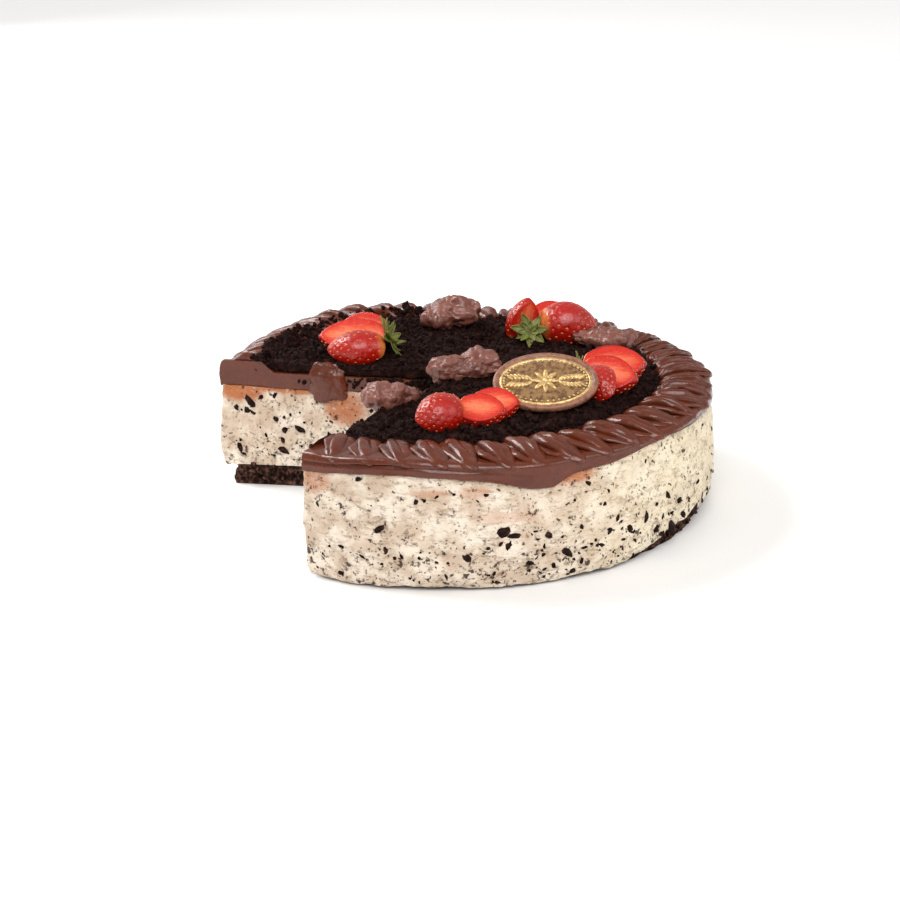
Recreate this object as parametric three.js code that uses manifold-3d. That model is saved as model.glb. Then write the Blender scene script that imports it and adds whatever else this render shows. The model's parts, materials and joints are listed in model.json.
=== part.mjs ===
// A round cookies and cream cake with one slice taken out, in millimetres, +Z up.
// The cake's axis is the Z axis and its underside lies on z = 0. Azimuths are in degrees from +X,
// counterclockwise from above; the slice was cut out towards the front left.
import * as THREE from "three";
import { mergeVertices } from "three/addons/utils/BufferGeometryUtils.js";
import Module from "manifold-3d";

const wasm = await Module();
wasm.setup();

// Driving dimensions
const cakeRadius = 120;
const crustRadius = 117.5;
const crustTop = 10.3;
const creamTop = 50.8;
const slabTop = 57.5; // the ganache layer's upper face
const pipingTop = 66;
const gap = 0.3; // between pieces that touch
const seatGap = 0.7; // over the ganache, whose rise a coarser surface follows
const coatGap = 0.5; // between the ganache's skirt and the cream's side
const toppingGap = 0.45; // between toppings, whose slanted faces come nearer
const sliceFrom = 168.5; // azimuth of the rear cut
const sliceTo = 235; // azimuth of the front cut
const roundSteps = 56; // the layers' divisions round the axis
const coarseSteps = 36; // the crumbs' and the border's
const shoulder = 104; // the layers are level inside this radius
const bedEdge = 92; // how far out the crumb topping reaches
const bedThickness = 4.6;
const strokeCount = 48; // piped strokes in a whole ring
const strokeInner = 95.5; // where a stroke starts and ends, from the axis
const strokeOuter = 119.2;

const colours = {
  crust: 0x2b1a17,
  cream: 0xefe2d0,
  ganache: 0x6b3d30,
  crumbs: 0x2a1715,
  berry: 0xc8261c,
  leaf: 0x6a7a2c,
  gold: 0xb99a63,
};

// Seeded draws and smooth relief

// The same index always gives the same number from 0 to 1.
function draw(n) {
  const s = Math.sin(n * 127.1 + 11.7) * 43758.5453;
  return s - Math.floor(s);
}

const between = (n, low, high) => low + (high - low) * draw(n);

// Smooth noise from -1 to 1 that changes over about one unit.
function noise(x, y, z) {
  const cell = [Math.floor(x), Math.floor(y), Math.floor(z)];
  const part = [x - cell[0], y - cell[1], z - cell[2]].map((t) => t * t * (3 - 2 * t));
  let sum = 0;
  for (let corner = 0; corner < 8; corner++) {
    const step = [corner & 1, (corner >> 1) & 1, corner >> 2];
    const share = step.reduce((w, s, k) => w * (s ? part[k] : 1 - part[k]), 1);
    const [i, j, k] = cell.map((c, n) => c + step[n]);
    sum += share * draw(i * 1.37 + j * 57.31 + k * 113.93);
  }
  return 2 * sum - 1;
}

const radians = THREE.MathUtils.degToRad;
const along = (azimuth, r, z) =>
  new THREE.Vector3(r * Math.cos(radians(azimuth)), r * Math.sin(radians(azimuth)), z);

// A smooth rise to 1 round an azimuth.
function bump(azimuth, centre, width) {
  const apart = THREE.MathUtils.euclideanModulo(azimuth - centre + 180, 360) - 180;
  return Math.exp(-((apart / width) ** 2));
}

// Closed meshes and solids

// A closed skin over rings of points, each ring counterclockwise round the way the rings run.
// A ring of one point closes an end.
function skin(rings) {
  const points = rings.flat();
  const starts = rings.map((_, i) => rings.slice(0, i).reduce((n, r) => n + r.length, 0));
  const index = [];
  for (let i = 0; i + 1 < rings.length; i++) {
    const count = Math.max(rings[i].length, rings[i + 1].length);
    const at = (ring, j) => starts[ring] + (rings[ring].length === 1 ? 0 : j % count);
    for (let j = 0; j < count; j++) {
      const [a, b, c, d] = [at(i, j), at(i, j + 1), at(i + 1, j + 1), at(i + 1, j)];
      if (a !== b) index.push(a, b, c);
      if (c !== d) index.push(a, c, d);
    }
  }
  return new THREE.BufferGeometry().setFromPoints(points).setIndex(index);
}

function solidOf(geometry) {
  const bare = geometry.clone();
  bare.deleteAttribute("normal");
  bare.deleteAttribute("uv");
  const merged = mergeVertices(bare, 1e-4);
  const vertProperties = merged.getAttribute("position").array;
  const triVerts = new Uint32Array(merged.index.array);
  return new wasm.Manifold(new wasm.Mesh({ numProp: 3, vertProperties, triVerts }));
}

function geometryOf(solid) {
  const { vertProperties, triVerts } = solid.getMesh();
  const geometry = new THREE.BufferGeometry();
  geometry.setAttribute("position", new THREE.BufferAttribute(vertProperties, 3));
  geometry.setIndex(new THREE.BufferAttribute(triVerts, 1));
  geometry.computeVertexNormals();
  return geometry;
}

const fuse = (solids) => solids.reduce((whole, piece) => whole.add(piece));
const meet = (a, b) => a.intersect(b).getMesh().triVerts.length > 0;

// The solid with its loose scraps dropped.
function largest(solid) {
  const pieces = solid.decompose();
  return pieces.reduce((best, piece) => (piece.volume() > best.volume() ? piece : best));
}

// The solid grown by the margin or a little more on every side, to cut a neighbour with.
function swollen(solid, margin) {
  const geometry = mergeVertices(geometryOf(solid).deleteAttribute("normal"), 1e-4);
  geometry.computeVertexNormals();
  const position = geometry.getAttribute("position");
  const normal = geometry.getAttribute("normal");
  for (let i = 0; i < position.count; i++) {
    const p = new THREE.Vector3().fromBufferAttribute(position, i);
    p.addScaledVector(new THREE.Vector3().fromBufferAttribute(normal, i), 1.5 * margin);
    position.setXYZ(i, p.x, p.y, p.z);
  }
  return solidOf(geometry);
}

// A closed body of revolution whose profile may change with the azimuth: profile(azimuth) lists
// [radius, z] pairs from the axis below to the axis above, or round a ring that closes on itself.
function drum(segments, profile) {
  const columns = Array.from({ length: segments }, (_, j) => profile((360 * j) / segments));
  const rings = columns[0].map(([radius], i) => {
    const ring = columns.map((column, j) => along((360 * j) / segments, ...column[i]));
    return radius === 0 ? [ring[0]] : ring;
  });
  return solidOf(skin(rings[0].length === 1 ? rings : [...rings, rings[0]]));
}

// The knife's wedge, grown by a setback, with a relief(distance, z, face) on each of its two faces.
function sliceWedge({ low, high, rows, steps, setback = 0, relief = () => 0 }) {
  const reach = cakeRadius * 1.35;
  const middle = (sliceFrom + sliceTo) / 2;
  const corner = (face, i, k) => {
    const z = low + ((high - low) * k) / rows;
    if (i === 0) return along(middle + 180, setback / Math.sin(radians(sliceTo - middle)), z);
    const azimuth = face ? sliceTo : sliceFrom;
    const distance = (reach * i) / steps;
    const inside = k > 0 && k < rows;
    const depth = setback + (inside ? relief(distance, z, face) : 0);
    return along(azimuth, distance, z).addScaledVector(along(azimuth + (face ? 90 : -90), 1, 0), depth);
  };
  const ring = (k) => {
    const first = Array.from({ length: steps + 1 }, (_, i) => corner(0, steps - i, k));
    const second = Array.from({ length: steps }, (_, i) => corner(1, i + 1, k));
    return [...first.reverse(), ...second.reverse()];
  };
  const rings = Array.from({ length: rows + 1 }, (_, k) => ring(k));
  const capCentre = (k) => [along(middle, reach * 0.3, k ? high : low)];
  return solidOf(skin([capCentre(0), ...rings, capCentre(1)]));
}

// The layers

// How much the layers rise above their own level: the whole top swells at the back left and the rim
// at the front left. At the front right the cream comes up under a thinner ganache.
const rimShare = (r) => THREE.MathUtils.smoothstep(r, 80, 116);
const innerShare = (r) => THREE.MathUtils.smoothstep(r, 30, 108);
const backSwell = (azimuth) => 6.6 * bump(azimuth, 126, 34);
const frontSwell = (azimuth) => 3.2 * bump(azimuth, 257, 17);
const topRise = (azimuth, r) => backSwell(azimuth) * innerShare(r) + frontSwell(azimuth) * rimShare(r);
const creamRise = (azimuth, r) =>
  (backSwell(azimuth) + frontSwell(azimuth) + 4.1 * bump(azimuth, 322, 17)) * rimShare(r);

// The cream's outer radius, smeared level by a palette knife and a little uneven.
function creamRadius(azimuth, z) {
  const p = along(azimuth, cakeRadius, z);
  const belly = 3.4 * Math.sin(Math.PI * Math.min(1, (z + 8) / (creamTop + 10)));
  return cakeRadius - 0.9 + belly + 0.7 * noise(p.x / 17, p.y / 17, z / 7);
}

// The crust, crumbly at its edge and where it is cut.
function crustSolid() {
  const edge = (azimuth, z, inset) => {
    const p = along(azimuth, crustRadius, z);
    return crustRadius - 1 - inset + 0.9 * noise(p.x / 6, p.y / 6, z / 4 + 9);
  };
  const whole = drum(roundSteps, (azimuth) => [
    [0, 0],
    [edge(azimuth, 0, 0.8), 0],
    [edge(azimuth, 4, 0), 4],
    [edge(azimuth, 10, 0.4), crustTop - gap],
    [0, crustTop - gap],
  ]);
  const crumble = (distance, z, face) => 1.2 * noise(distance / 5, z / 3, face * 7 + 3);
  return whole.subtract(sliceWedge({ low: -4, high: crustTop + 4, rows: 6, steps: 18, relief: crumble }));
}

// The cream was drawn down over the crust's edge, except where the crust still shows.
function coatBottom(azimuth) {
  const p = along(azimuth, 1, 0);
  const bare = 7 * bump(azimuth, 333, 20) + 6 * bump(azimuth, 95, 16) + 5 * bump(azimuth, 166, 6);
  return 1 + Math.min(8, bare + 0.7 + 0.7 * noise(p.x * 9, p.y * 9, 2));
}

// One broken piece of cookie: a stretched icosahedron turned at random.
function cookieBit(seed, size) {
  const geometry = new THREE.IcosahedronGeometry(size, 0);
  const [x, y] = [between(seed + 0.1, 0.75, 1.25), between(seed + 0.2, 0.7, 1.1)];
  geometry.scale(x, y, between(seed + 0.3, 0.45, 0.8));
  const turn = [0.4, 0.5, 0.6].map((k) => between(seed + k, 0, Math.PI));
  return geometry.applyMatrix4(new THREE.Matrix4().makeRotationFromEuler(new THREE.Euler(...turn)));
}

const sideBits = 30;
const faceBits = 7; // on each cut face
const bitsLow = crustTop + 4;
const bitsHigh = creamTop - 9;

// Where the cookie bits show: round the side by the golden angle, and over both cut faces.
function cookieBitPlaces() {
  const places = [];
  for (let n = 0; n < sideBits; n++) {
    const azimuth = sliceTo + 3 + ((n * 137.508) % (360 - (sliceTo - sliceFrom) - 6));
    const z = bitsLow + (bitsHigh - bitsLow) * draw(n * 3.7 + 1) ** 1.35;
    const size = 1.3 + 2.3 * draw(n * 5.3 + 2) ** 2;
    places.push({ seed: 300 + n, size, at: along(azimuth, creamRadius(azimuth, z) - size * 0.22, z) });
  }
  for (let n = 0; n < 2 * faceBits; n++) {
    const face = n % 2;
    const azimuth = face ? sliceTo : sliceFrom;
    const distance = 12 + (94 * (Math.floor(n / 2) + draw(n + 40))) / faceBits;
    const z = between(n * 2.9 + 5, bitsLow, bitsHigh + 3);
    const size = 1.8 + 1.9 * draw(n * 4.1 + 6);
    const inward = along(azimuth + (face ? 90 : -90), 1, 0);
    const at = along(azimuth, distance, z).addScaledVector(inward, size * 0.25);
    places.push({ seed: 500 + n, size, at });
  }
  return places;
}

const tornDepth = 0.8; // of the cream's cut faces

function fillingSolid() {
  const levels = [19, 30, 41];
  const whole = drum(roundSteps, (azimuth) => {
    const low = coatBottom(azimuth);
    return [
      [0, crustTop],
      [crustRadius + 0.6, crustTop],
      [crustRadius + 0.6, low],
      [creamRadius(azimuth, low) - 0.5, low],
      ...levels.map((z) => [creamRadius(azimuth, z), z]),
      [creamRadius(azimuth, creamTop), creamTop - gap + creamRise(azimuth, cakeRadius)],
      [shoulder, creamTop - gap + creamRise(azimuth, shoulder)],
      [0, creamTop - gap],
    ];
  });
  const torn = (distance, z, face) => tornDepth * noise(distance / 8, z / 7, face * 5 + 1);
  const cut = whole.subtract(sliceWedge({ low: -4, high: creamTop + 12, rows: 7, steps: 12, relief: torn }));
  const bits = cookieBitPlaces().map(({ seed, size, at }) =>
    solidOf(cookieBit(seed, size).translate(at.x, at.y, at.z)));
  return fuse([cut, ...bits]);
}

// How far the ganache runs down over the cream's edge.
function dripDepth(azimuth) {
  const p = along(azimuth, 1, 0);
  const uneven = 0.7 + 0.4 * noise(p.x * 6, p.y * 6, 4);
  return uneven + 5 * bump(azimuth, 285, 7) + 1.6 * bump(azimuth, 150, 9) + 1.3 * bump(azimuth, 60, 12);
}

function ganacheSolid() {
  const whole = drum(roundSteps, (azimuth) => {
    const under = creamTop + creamRise(azimuth, cakeRadius);
    const upper = slabTop + topRise(azimuth, cakeRadius);
    const low = under - dripDepth(azimuth);
    const inner = Math.max(creamRadius(azimuth, creamTop), creamRadius(azimuth, low)) + coatGap;
    return [
      [0, creamTop],
      [shoulder, creamTop + creamRise(azimuth, shoulder)],
      [inner, under],
      [inner, low],
      [inner + 0.8, low],
      [inner + 0.4, upper - 2],
      [inner - 1.8, upper],
      ...[shoulder, 80, 50].map((r) => [r, slabTop + topRise(azimuth, r)]),
      [0, slabTop],
    ];
  });
  return whole.subtract(sliceWedge({ low: creamTop - 12, high: slabTop + 12, rows: 1, steps: 1 }));
}

// The piped border

// One stroke runs outwards over the rim and leans on its neighbour: a thick head inside, where the
// nozzle started, and a flatter tail.
function pipedStroke(k) {
  const azimuth = (360 * (k + between(k + 60, -0.1, 0.1))) / strokeCount;
  const inner = strokeInner + between(k + 120, -2.2, 2.2);
  const outer = strokeOuter + between(k + 180, -1.2, 0.4);
  const halfWidth = between(k + 240, 8.1, 9); // so that it runs into its neighbours
  const height = (pipingTop - slabTop) * between(k + 300, 0.84, 1.04);
  const slant = between(k + 360, 4, 7); // degrees from the inner end to the outer end
  const lean = radians(between(k + 420, 12, 22));
  const stations = [0.05, 0.4, 0.92];
  const girth = [-30, 12, 51, 90, 129, 168, 210]; // degrees round the part that shows
  const middle = (t) => {
    const r = inner + (outer - inner) * t;
    return along(azimuth + slant * (t - 0.5), r, slabTop + topRise(azimuth, r) - 1.6 * t * t);
  };
  const ring = (t) => {
    const swell = Math.sin(Math.PI * (0.14 + 0.74 * t)) ** 0.6;
    const across = along(azimuth - 90, 1, 0);
    const wide = halfWidth * swell * (1.06 - 0.14 * t);
    const tall = height * swell * (1.03 - 0.16 * t);
    return girth.map((degrees) => {
      const [c, s] = [Math.cos(radians(degrees)), Math.sin(radians(degrees))];
      const u = wide * c - tall * s * Math.sin(lean);
      const v = tall * s + wide * c * Math.sin(lean) * 0.4;
      return middle(t).addScaledVector(across, u).add(new THREE.Vector3(0, 0, v));
    });
  };
  const rings = [[middle(0)], ...stations.map(ring), [middle(1)]];
  return solidOf(skin(rings.map((r) => [...r].reverse())));
}

function strokeShows(k) {
  const azimuth = (360 * k) / strokeCount;
  return azimuth < sliceFrom + 5 || azimuth > sliceTo - 5;
}

// The room that the ganache takes up, and what is below it and beside it.
function slabRoom() {
  return drum(coarseSteps, (azimuth) => {
    const level = (r) => slabTop + topRise(azimuth, r) + seatGap;
    const rim = creamRadius(azimuth, creamTop) - 1;
    return [
      [0, creamTop - 20],
      [cakeRadius * 1.1, creamTop - 20],
      [cakeRadius * 1.1, level(cakeRadius) - 4],
      [rim, level(rim)],
      [shoulder, level(shoulder)],
      [strokeInner - 8, level(strokeInner - 8)],
      [strokeInner - 12, slabTop],
      [0, slabTop],
    ];
  });
}

function pipingSolid() {
  const strokes = Array.from({ length: strokeCount }, (_, k) => k).filter(strokeShows).map(pipedStroke);
  const wedge = sliceWedge({ low: slabTop - 12, high: pipingTop + 20, rows: 1, steps: 1 });
  return fuse(strokes).subtract(wedge).subtract(slabRoom());
}

// What the toppings keep clear of: the border's rounded shape with no strokes in it.
function pipingRoom() {
  return drum(coarseSteps, (azimuth) => {
    const crest = pipingTop + 0.9 + topRise(azimuth, shoulder);
    const inside = strokeInner - 2.7;
    return [
      [inside, slabTop - 2],
      [cakeRadius, slabTop - 2],
      [cakeRadius, crest - 4],
      [strokeInner + 15, crest],
      [strokeInner + 6, crest],
      [inside, crest - 4],
    ];
  });
}

// The crumb topping

const moundAt = { x: 40, y: -47, high: 6.5, wide: 20 }; // crumbs heaped under the medallion

// The height of the crumbs' smooth core over the ganache.
function bedHeight(x, y) {
  const r = Math.hypot(x, y);
  const edge = THREE.MathUtils.smoothstep(bedEdge + 1 - r, 0, 7);
  const mound = moundAt.high * Math.exp(-((x - moundAt.x) ** 2 + (y - moundAt.y) ** 2) / moundAt.wide ** 2);
  const azimuth = THREE.MathUtils.euclideanModulo(THREE.MathUtils.radToDeg(Math.atan2(y, x)), 360);
  const level = slabTop + topRise(azimuth, r);
  return level + 1.2 + (bedThickness - 1.2 + 1.1 * noise(x / 16, y / 16, 2)) * edge + mound;
}

// The crumbs' core, grown by a margin where the toppings are to be fitted to it.
function bedCore(margin = 0) {
  const radii = [87, 77, 65, 52, 38, 21, 0];
  const whole = drum(coarseSteps, (azimuth) => {
    const p = along(azimuth, 1, 0);
    const edge = bedEdge + margin + 1.6 * noise(p.x * 9, p.y * 9, 6);
    const level = (r) => slabTop + topRise(azimuth, r) + seatGap - margin;
    return [
      [0, level(0)],
      ...[50, 80, edge].map((r) => [r, level(r)]),
      [edge, level(edge) + 0.6 + 2 * margin],
      ...radii.map((r) => {
        const at = along(azimuth, r, 0);
        return [r, bedHeight(at.x, at.y) + margin];
      }),
    ];
  });
  const ragged = (distance) => 1.3 * noise(distance / 6, 3, 5);
  const wedge = sliceWedge({
    low: slabTop - 4, high: slabTop + 20, rows: 2, steps: 18, setback: 1.8 - margin, relief: ragged,
  });
  return whole.subtract(wedge);
}

const grainCount = 100;
const grainEdge = 6; // how far the lumps stay inside the crumbs' edge and the cuts

// Lumps of cookie on the crumbs, spread by the golden angle, clear of the toppings.
function grains(others) {
  const made = [];
  for (let n = 0; n < grainCount; n++) {
    const size = between(n + 700, 1.8, 3.4);
    const r = (bedEdge - grainEdge) * Math.sqrt((n + 0.5) / grainCount);
    const azimuth = THREE.MathUtils.euclideanModulo(n * 137.508, 360);
    const at = along(azimuth, r, 0);
    const fromCut = Math.min(Math.abs(azimuth - sliceFrom), Math.abs(azimuth - sliceTo));
    const cutAway = azimuth > sliceFrom && azimuth < sliceTo;
    if (cutAway || r * Math.sin(radians(Math.min(90, fromCut))) < grainEdge) continue;
    const z = bedHeight(at.x, at.y) + size * 0.12;
    const grain = solidOf(cookieBit(900 + n, size).translate(at.x, at.y, z));
    if (!others.some((other) => meet(swollen(grain, 0.6), other))) made.push(grain);
  }
  return made;
}

// Toppings

// A knobbly chunk, long in X, its uneven skin drawn round a row of stations.
function chunkGeometry({ seed, length, width, height }) {
  const stations = [0.05, 0.2, 0.38, 0.56, 0.74, 0.92];
  const sides = 9;
  const ring = (t, i) => {
    const swell = Math.sin(Math.PI * (0.07 + 0.86 * t)) ** 0.45;
    return Array.from({ length: sides }, (_, j) => {
      const angle = (2 * Math.PI * (j + 0.5 * (i % 2))) / sides;
      const rough = 1 + 0.17 * noise(t * 4 + seed, 1.6 * Math.cos(angle), 1.6 * Math.sin(angle));
      const across = 0.5 * width * swell * rough * Math.cos(angle);
      const up = 0.5 * height * swell * rough * Math.sin(angle);
      return new THREE.Vector3((t - 0.5) * length, across, up + height * 0.42);
    });
  };
  const end = (t) => [new THREE.Vector3((t - 0.5) * length, 0, height * 0.42)];
  return skin([end(0), ...stations.map(ring), end(1)]);
}

const chunks = {
  chunk_centre: { seed: 11, x: 3, y: -6, turn: 22, length: 36, width: 19, height: 15 },
  chunk_back: { seed: 23, x: -3, y: 77, turn: 8, length: 31, width: 20, height: 16 },
  chunk_right: { seed: 37, x: 72, y: 40, turn: -16, length: 33, width: 18, height: 11 },
  chunk_cut_tip: { seed: 53, x: -33, y: -44, turn: 24, length: 26, width: 15, height: 11 },
};

function placed(geometry, { x, y, turn, z = 0 }) {
  const stand = new THREE.Object3D();
  stand.position.set(x, y, z);
  stand.rotation.z = radians(turn);
  stand.updateMatrix();
  return geometry.applyMatrix4(stand.matrix);
}

function chunkSolid(chunk) {
  const z = bedHeight(chunk.x, chunk.y) - 0.8;
  return solidOf(placed(chunkGeometry(chunk), { ...chunk, z }));
}

// A lump of ganache that the knife dragged over the rear cut's edge.
const draggedLump = { distance: 65, width: 19, height: 21, depth: 13, top: 66 };

function draggedLumpSolid() {
  const { distance, width, height, depth, top } = draggedLump;
  const bare = new THREE.IcosahedronGeometry(1, 1).deleteAttribute("normal").deleteAttribute("uv");
  const lump = mergeVertices(bare);
  const position = lump.getAttribute("position");
  for (let i = 0; i < position.count; i++) {
    const p = new THREE.Vector3().fromBufferAttribute(position, i);
    p.multiplyScalar(1 + 0.12 * noise(p.x * 2 + 5, p.y * 2, p.z * 2));
    position.setXYZ(i, p.x * width * 0.5, p.y * depth * 0.5, p.z * height * 0.5);
  }
  // It clears the layers' cut face, torn by up to the relief, and lies on the ganache.
  const upper = slabTop + topRise(sliceFrom, distance) + seatGap;
  const layers = new THREE.BoxGeometry(80, 60, 60).translate(0, -30 + tornDepth + gap, upper - 30);
  const at = { turn: sliceFrom, ...along(sliceFrom, distance, 0) };
  const body = solidOf(placed(lump, { ...at, z: top - height / 2 }));
  return body.subtract(solidOf(placed(layers, { ...at, z: 0 })));
}

// A strawberry lying along +X from its stem end at the origin: half-breadth at t along it.
const berryLength = 31;
const berryBreadth = 25;
const berryHalf = (t) => 0.5 * berryBreadth * Math.sin(Math.PI * Math.min(1, 0.2 + 0.8 * t) ** 1.15) ** 0.72;

function wholeBerry() {
  const stations = [0.03, 0.18, 0.4, 0.64, 0.86];
  const sides = 12;
  const ring = (t) =>
    Array.from({ length: sides }, (_, j) => {
      const angle = (2 * Math.PI * j) / sides;
      const r = berryHalf(t);
      return new THREE.Vector3(berryLength * t, r * Math.cos(angle), r * Math.sin(angle));
    });
  const end = (t) => [new THREE.Vector3(berryLength * t, 0, 0)];
  return skin([end(0), ...stations.map(ring), end(1)]);
}

// One slice of a strawberry between two cut planes, y = from and y = to.
function berrySlice({ from, to }) {
  const slab = new THREE.BoxGeometry(80, to - from, 80).translate(0, (from + to) / 2, 0);
  return geometryOf(solidOf(wholeBerry()).intersect(solidOf(slab)));
}

// Each slice: its stem end's place, where its tip points from above, how far it leans over, how far
// its tip dips, and its cut planes.
const berries = {
  strawberry_left: [
    { x: -36, y: 29, tip: 186, lean: 38, dip: 2, from: 3.5, to: 12.5, size: 1 },
    { x: -36, y: 35.5, tip: 173, lean: 46, dip: 0, from: -3, to: 3, size: 1.12 },
    { x: -37, y: 42, tip: 160, lean: 40, dip: -2, from: -11, to: -3, size: 0.84 },
  ],
  strawberry_back: [
    { x: 35, y: 49, tip: 116, lean: -52, dip: -12, from: -3.5, to: 3.5, size: 0.84 },
    { x: 40, y: 52, tip: 62, lean: -34, dip: 2, from: -3.5, to: 3.5, size: 0.92 },
    { x: 42, y: 46, tip: 14, lean: 36, dip: 4, from: 2.5, to: 12.5, size: 1 },
  ],
  strawberry_right: [
    { x: 58, y: -24, tip: 2, lean: -38, dip: -4, from: -4, to: 4, size: 1.02 },
    { x: 58, y: -32, tip: -18, lean: 42, dip: 0, from: -3.5, to: 3.5, size: 0.96 },
    { x: 62, y: -40, tip: -58, lean: 44, dip: 3, from: 2.5, to: 11.5, size: 0.76 },
  ],
  strawberry_front: [
    { x: 0, y: -70, tip: 212, lean: 40, dip: 4, from: 2.5, to: 12.5, size: 0.82 },
    { x: -1, y: -73, tip: 344, lean: 46, dip: 2, from: -4, to: 3, size: 0.76 },
    { x: 4, y: -66, tip: 350, lean: 42, dip: 1, from: -3.5, to: 3.5, size: 0.82 },
  ],
};

function berrySliceSolid(slice) {
  const geometry = berrySlice(slice);
  const stand = new THREE.Object3D();
  stand.rotation.set(radians(slice.lean), radians(slice.dip), radians(slice.tip), "ZYX");
  stand.scale.setScalar(slice.size);
  stand.updateMatrix();
  geometry.applyMatrix4(stand.matrix).computeBoundingBox();
  const middle = along(slice.tip, berryLength * 0.45, 0);
  const z = bedHeight(slice.x + middle.x, slice.y + middle.y) - 1.4 - geometry.boundingBox.min.z;
  return solidOf(geometry.translate(slice.x, slice.y, z));
}

// A strawberry's green cap: a thin star of leaves that curl away from the berry.
function calyxSolid({ x, y, z, facing, tilt, leaves, reach, seed }) {
  const thickness = 0.8;
  // Four points to a leaf: the valley before it, its two sides and its tip.
  const outline = Array.from({ length: 4 * leaves }, (_, j) => {
    const leaf = Math.floor(j / 4);
    const length = reach * between(seed + leaf, 0.72, 1.1);
    const part = [0.3, 0.62, 1, 0.62][j % 4];
    const turn = [-0.5, -0.2, 0, 0.2][j % 4] + between(seed + leaf + 60, -0.08, 0.08);
    const curl = between(seed + leaf + 30, 0.08, 0.4);
    return { azimuth: (360 * (leaf + turn)) / leaves, r: length * part, rise: length * curl * part ** 2 };
  });
  const ring = (up) => outline.map(({ azimuth, r, rise }) => along(azimuth, r, rise + up));
  const end = (z) => [new THREE.Vector3(0, 0, z)];
  const star = skin([end(-0.5), ring(0), ring(thickness), end(thickness + 0.3)]);
  const stand = new THREE.Object3D();
  stand.position.set(x, y, z);
  stand.rotation.set(0, radians(tilt), radians(facing), "ZYX");
  stand.updateMatrix();
  return solidOf(star.applyMatrix4(stand.matrix));
}

const calyxes = {
  strawberry_left_calyx: { x: -34.8, y: 34, z: 70, facing: 0, tilt: 70, leaves: 7, reach: 10.5, seed: 80 },
  strawberry_back_calyx: { x: 36.3, y: 44.2, z: 69, facing: 255, tilt: 60, leaves: 7, reach: 9.5, seed: 90 },
  strawberry_right_calyx: { x: 56, y: -27, z: 70, facing: 165, tilt: 72, leaves: 6, reach: 8.5, seed: 100 },
};

// The oval chocolate medallion: a plate with a raised rim, leaning back on the heaped crumbs.
const medallion = { x: 39, y: -56, z: 73, long: 48, short: 34, thick: 3.2, rim: 3, tilt: 32, turn: -4 };

function medallionSolid() {
  const { long, short, thick, rim } = medallion;
  const sides = 20;
  const oval = (inset, z) =>
    Array.from({ length: sides }, (_, j) => {
      const angle = (2 * Math.PI * j) / sides;
      const [halfLong, halfShort] = [long / 2 - inset, short / 2 - inset];
      return new THREE.Vector3(halfLong * Math.cos(angle), halfShort * Math.sin(angle), z);
    });
  const field = thick - 0.8;
  const plate = skin([
    [new THREE.Vector3(0, 0, 0)],
    oval(0.8, 0),
    oval(0, thick - 1),
    oval(0.9, thick),
    oval(rim - 0.6, thick),
    oval(rim, field),
    [new THREE.Vector3(0, 0, field)],
  ]);
  const stand = new THREE.Object3D();
  stand.position.set(medallion.x, medallion.y, medallion.z);
  stand.rotation.set(radians(medallion.tilt), 0, radians(medallion.turn), "ZYX");
  stand.updateMatrix();
  return solidOf(plate.applyMatrix4(stand.matrix));
}

// The assembly

const filling = fillingSolid();
const ganache = ganacheSolid();
const piping = pipingSolid();
const core = bedCore();

const pieces = [];
const keep = (name, solid, colour, roughness) => pieces.push({ name, solid, colour, roughness });

// Each topping is cut to its seat: the crumbs below, the border and the toppings already there.
const toppings = [];
const seat = bedCore(gap);
const border = pipingRoom();
function top(name, solid, colour, roughness) {
  const near = toppings.filter((t) => meet(t.solid, solid)).map((t) => swollen(t.solid, toppingGap));
  const seated = [seat, border, ...near].reduce((left, other) => left.subtract(other), solid);
  toppings.push({ name, solid: largest(seated), colour, roughness });
}

for (const [name, chunk] of Object.entries(chunks)) top(name, chunkSolid(chunk), colours.ganache, 0.35);
for (const [name, slices] of Object.entries(berries))
  slices.forEach((slice, n) => top(name + "_" + (n + 1), berrySliceSolid(slice), colours.berry, 0.3));
for (const [name, calyx] of Object.entries(calyxes)) top(name, calyxSolid(calyx), colours.leaf, 0.6);
top("medallion", medallionSolid(), colours.gold, 0.35);

const dragged = largest(draggedLumpSolid().subtract(seat));
toppings.push({ name: "chunk_cut_edge", solid: dragged, colour: colours.ganache, roughness: 0.3 });

const crumbs = largest(fuse([core, ...grains(toppings.map((t) => t.solid))]));

keep("crust", crustSolid(), colours.crust, 0.95);
keep("filling", filling, colours.cream, 0.6);
keep("ganache_layer", ganache, colours.ganache, 0.3);
keep("piped_border", piping, colours.ganache, 0.28);
keep("crumb_topping", crumbs, colours.crumbs, 0.95);
for (const t of toppings) keep(t.name, t.solid, t.colour, t.roughness);

const cake = new THREE.Group();
for (const { name, solid, colour, roughness } of pieces) {
  const material = new THREE.MeshStandardMaterial({ color: colour, roughness, metalness: 0 });
  const mesh = new THREE.Mesh(geometryOf(solid), material);
  mesh.name = name;
  cake.add(mesh);
}

export default cake;
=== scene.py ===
import json
import math
from functools import cache
from itertools import product

import bmesh
import bpy
import numpy as np
from mathutils import Matrix, Vector
from mathutils.bvhtree import BVHTree
from mathutils.kdtree import KDTree

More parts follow.
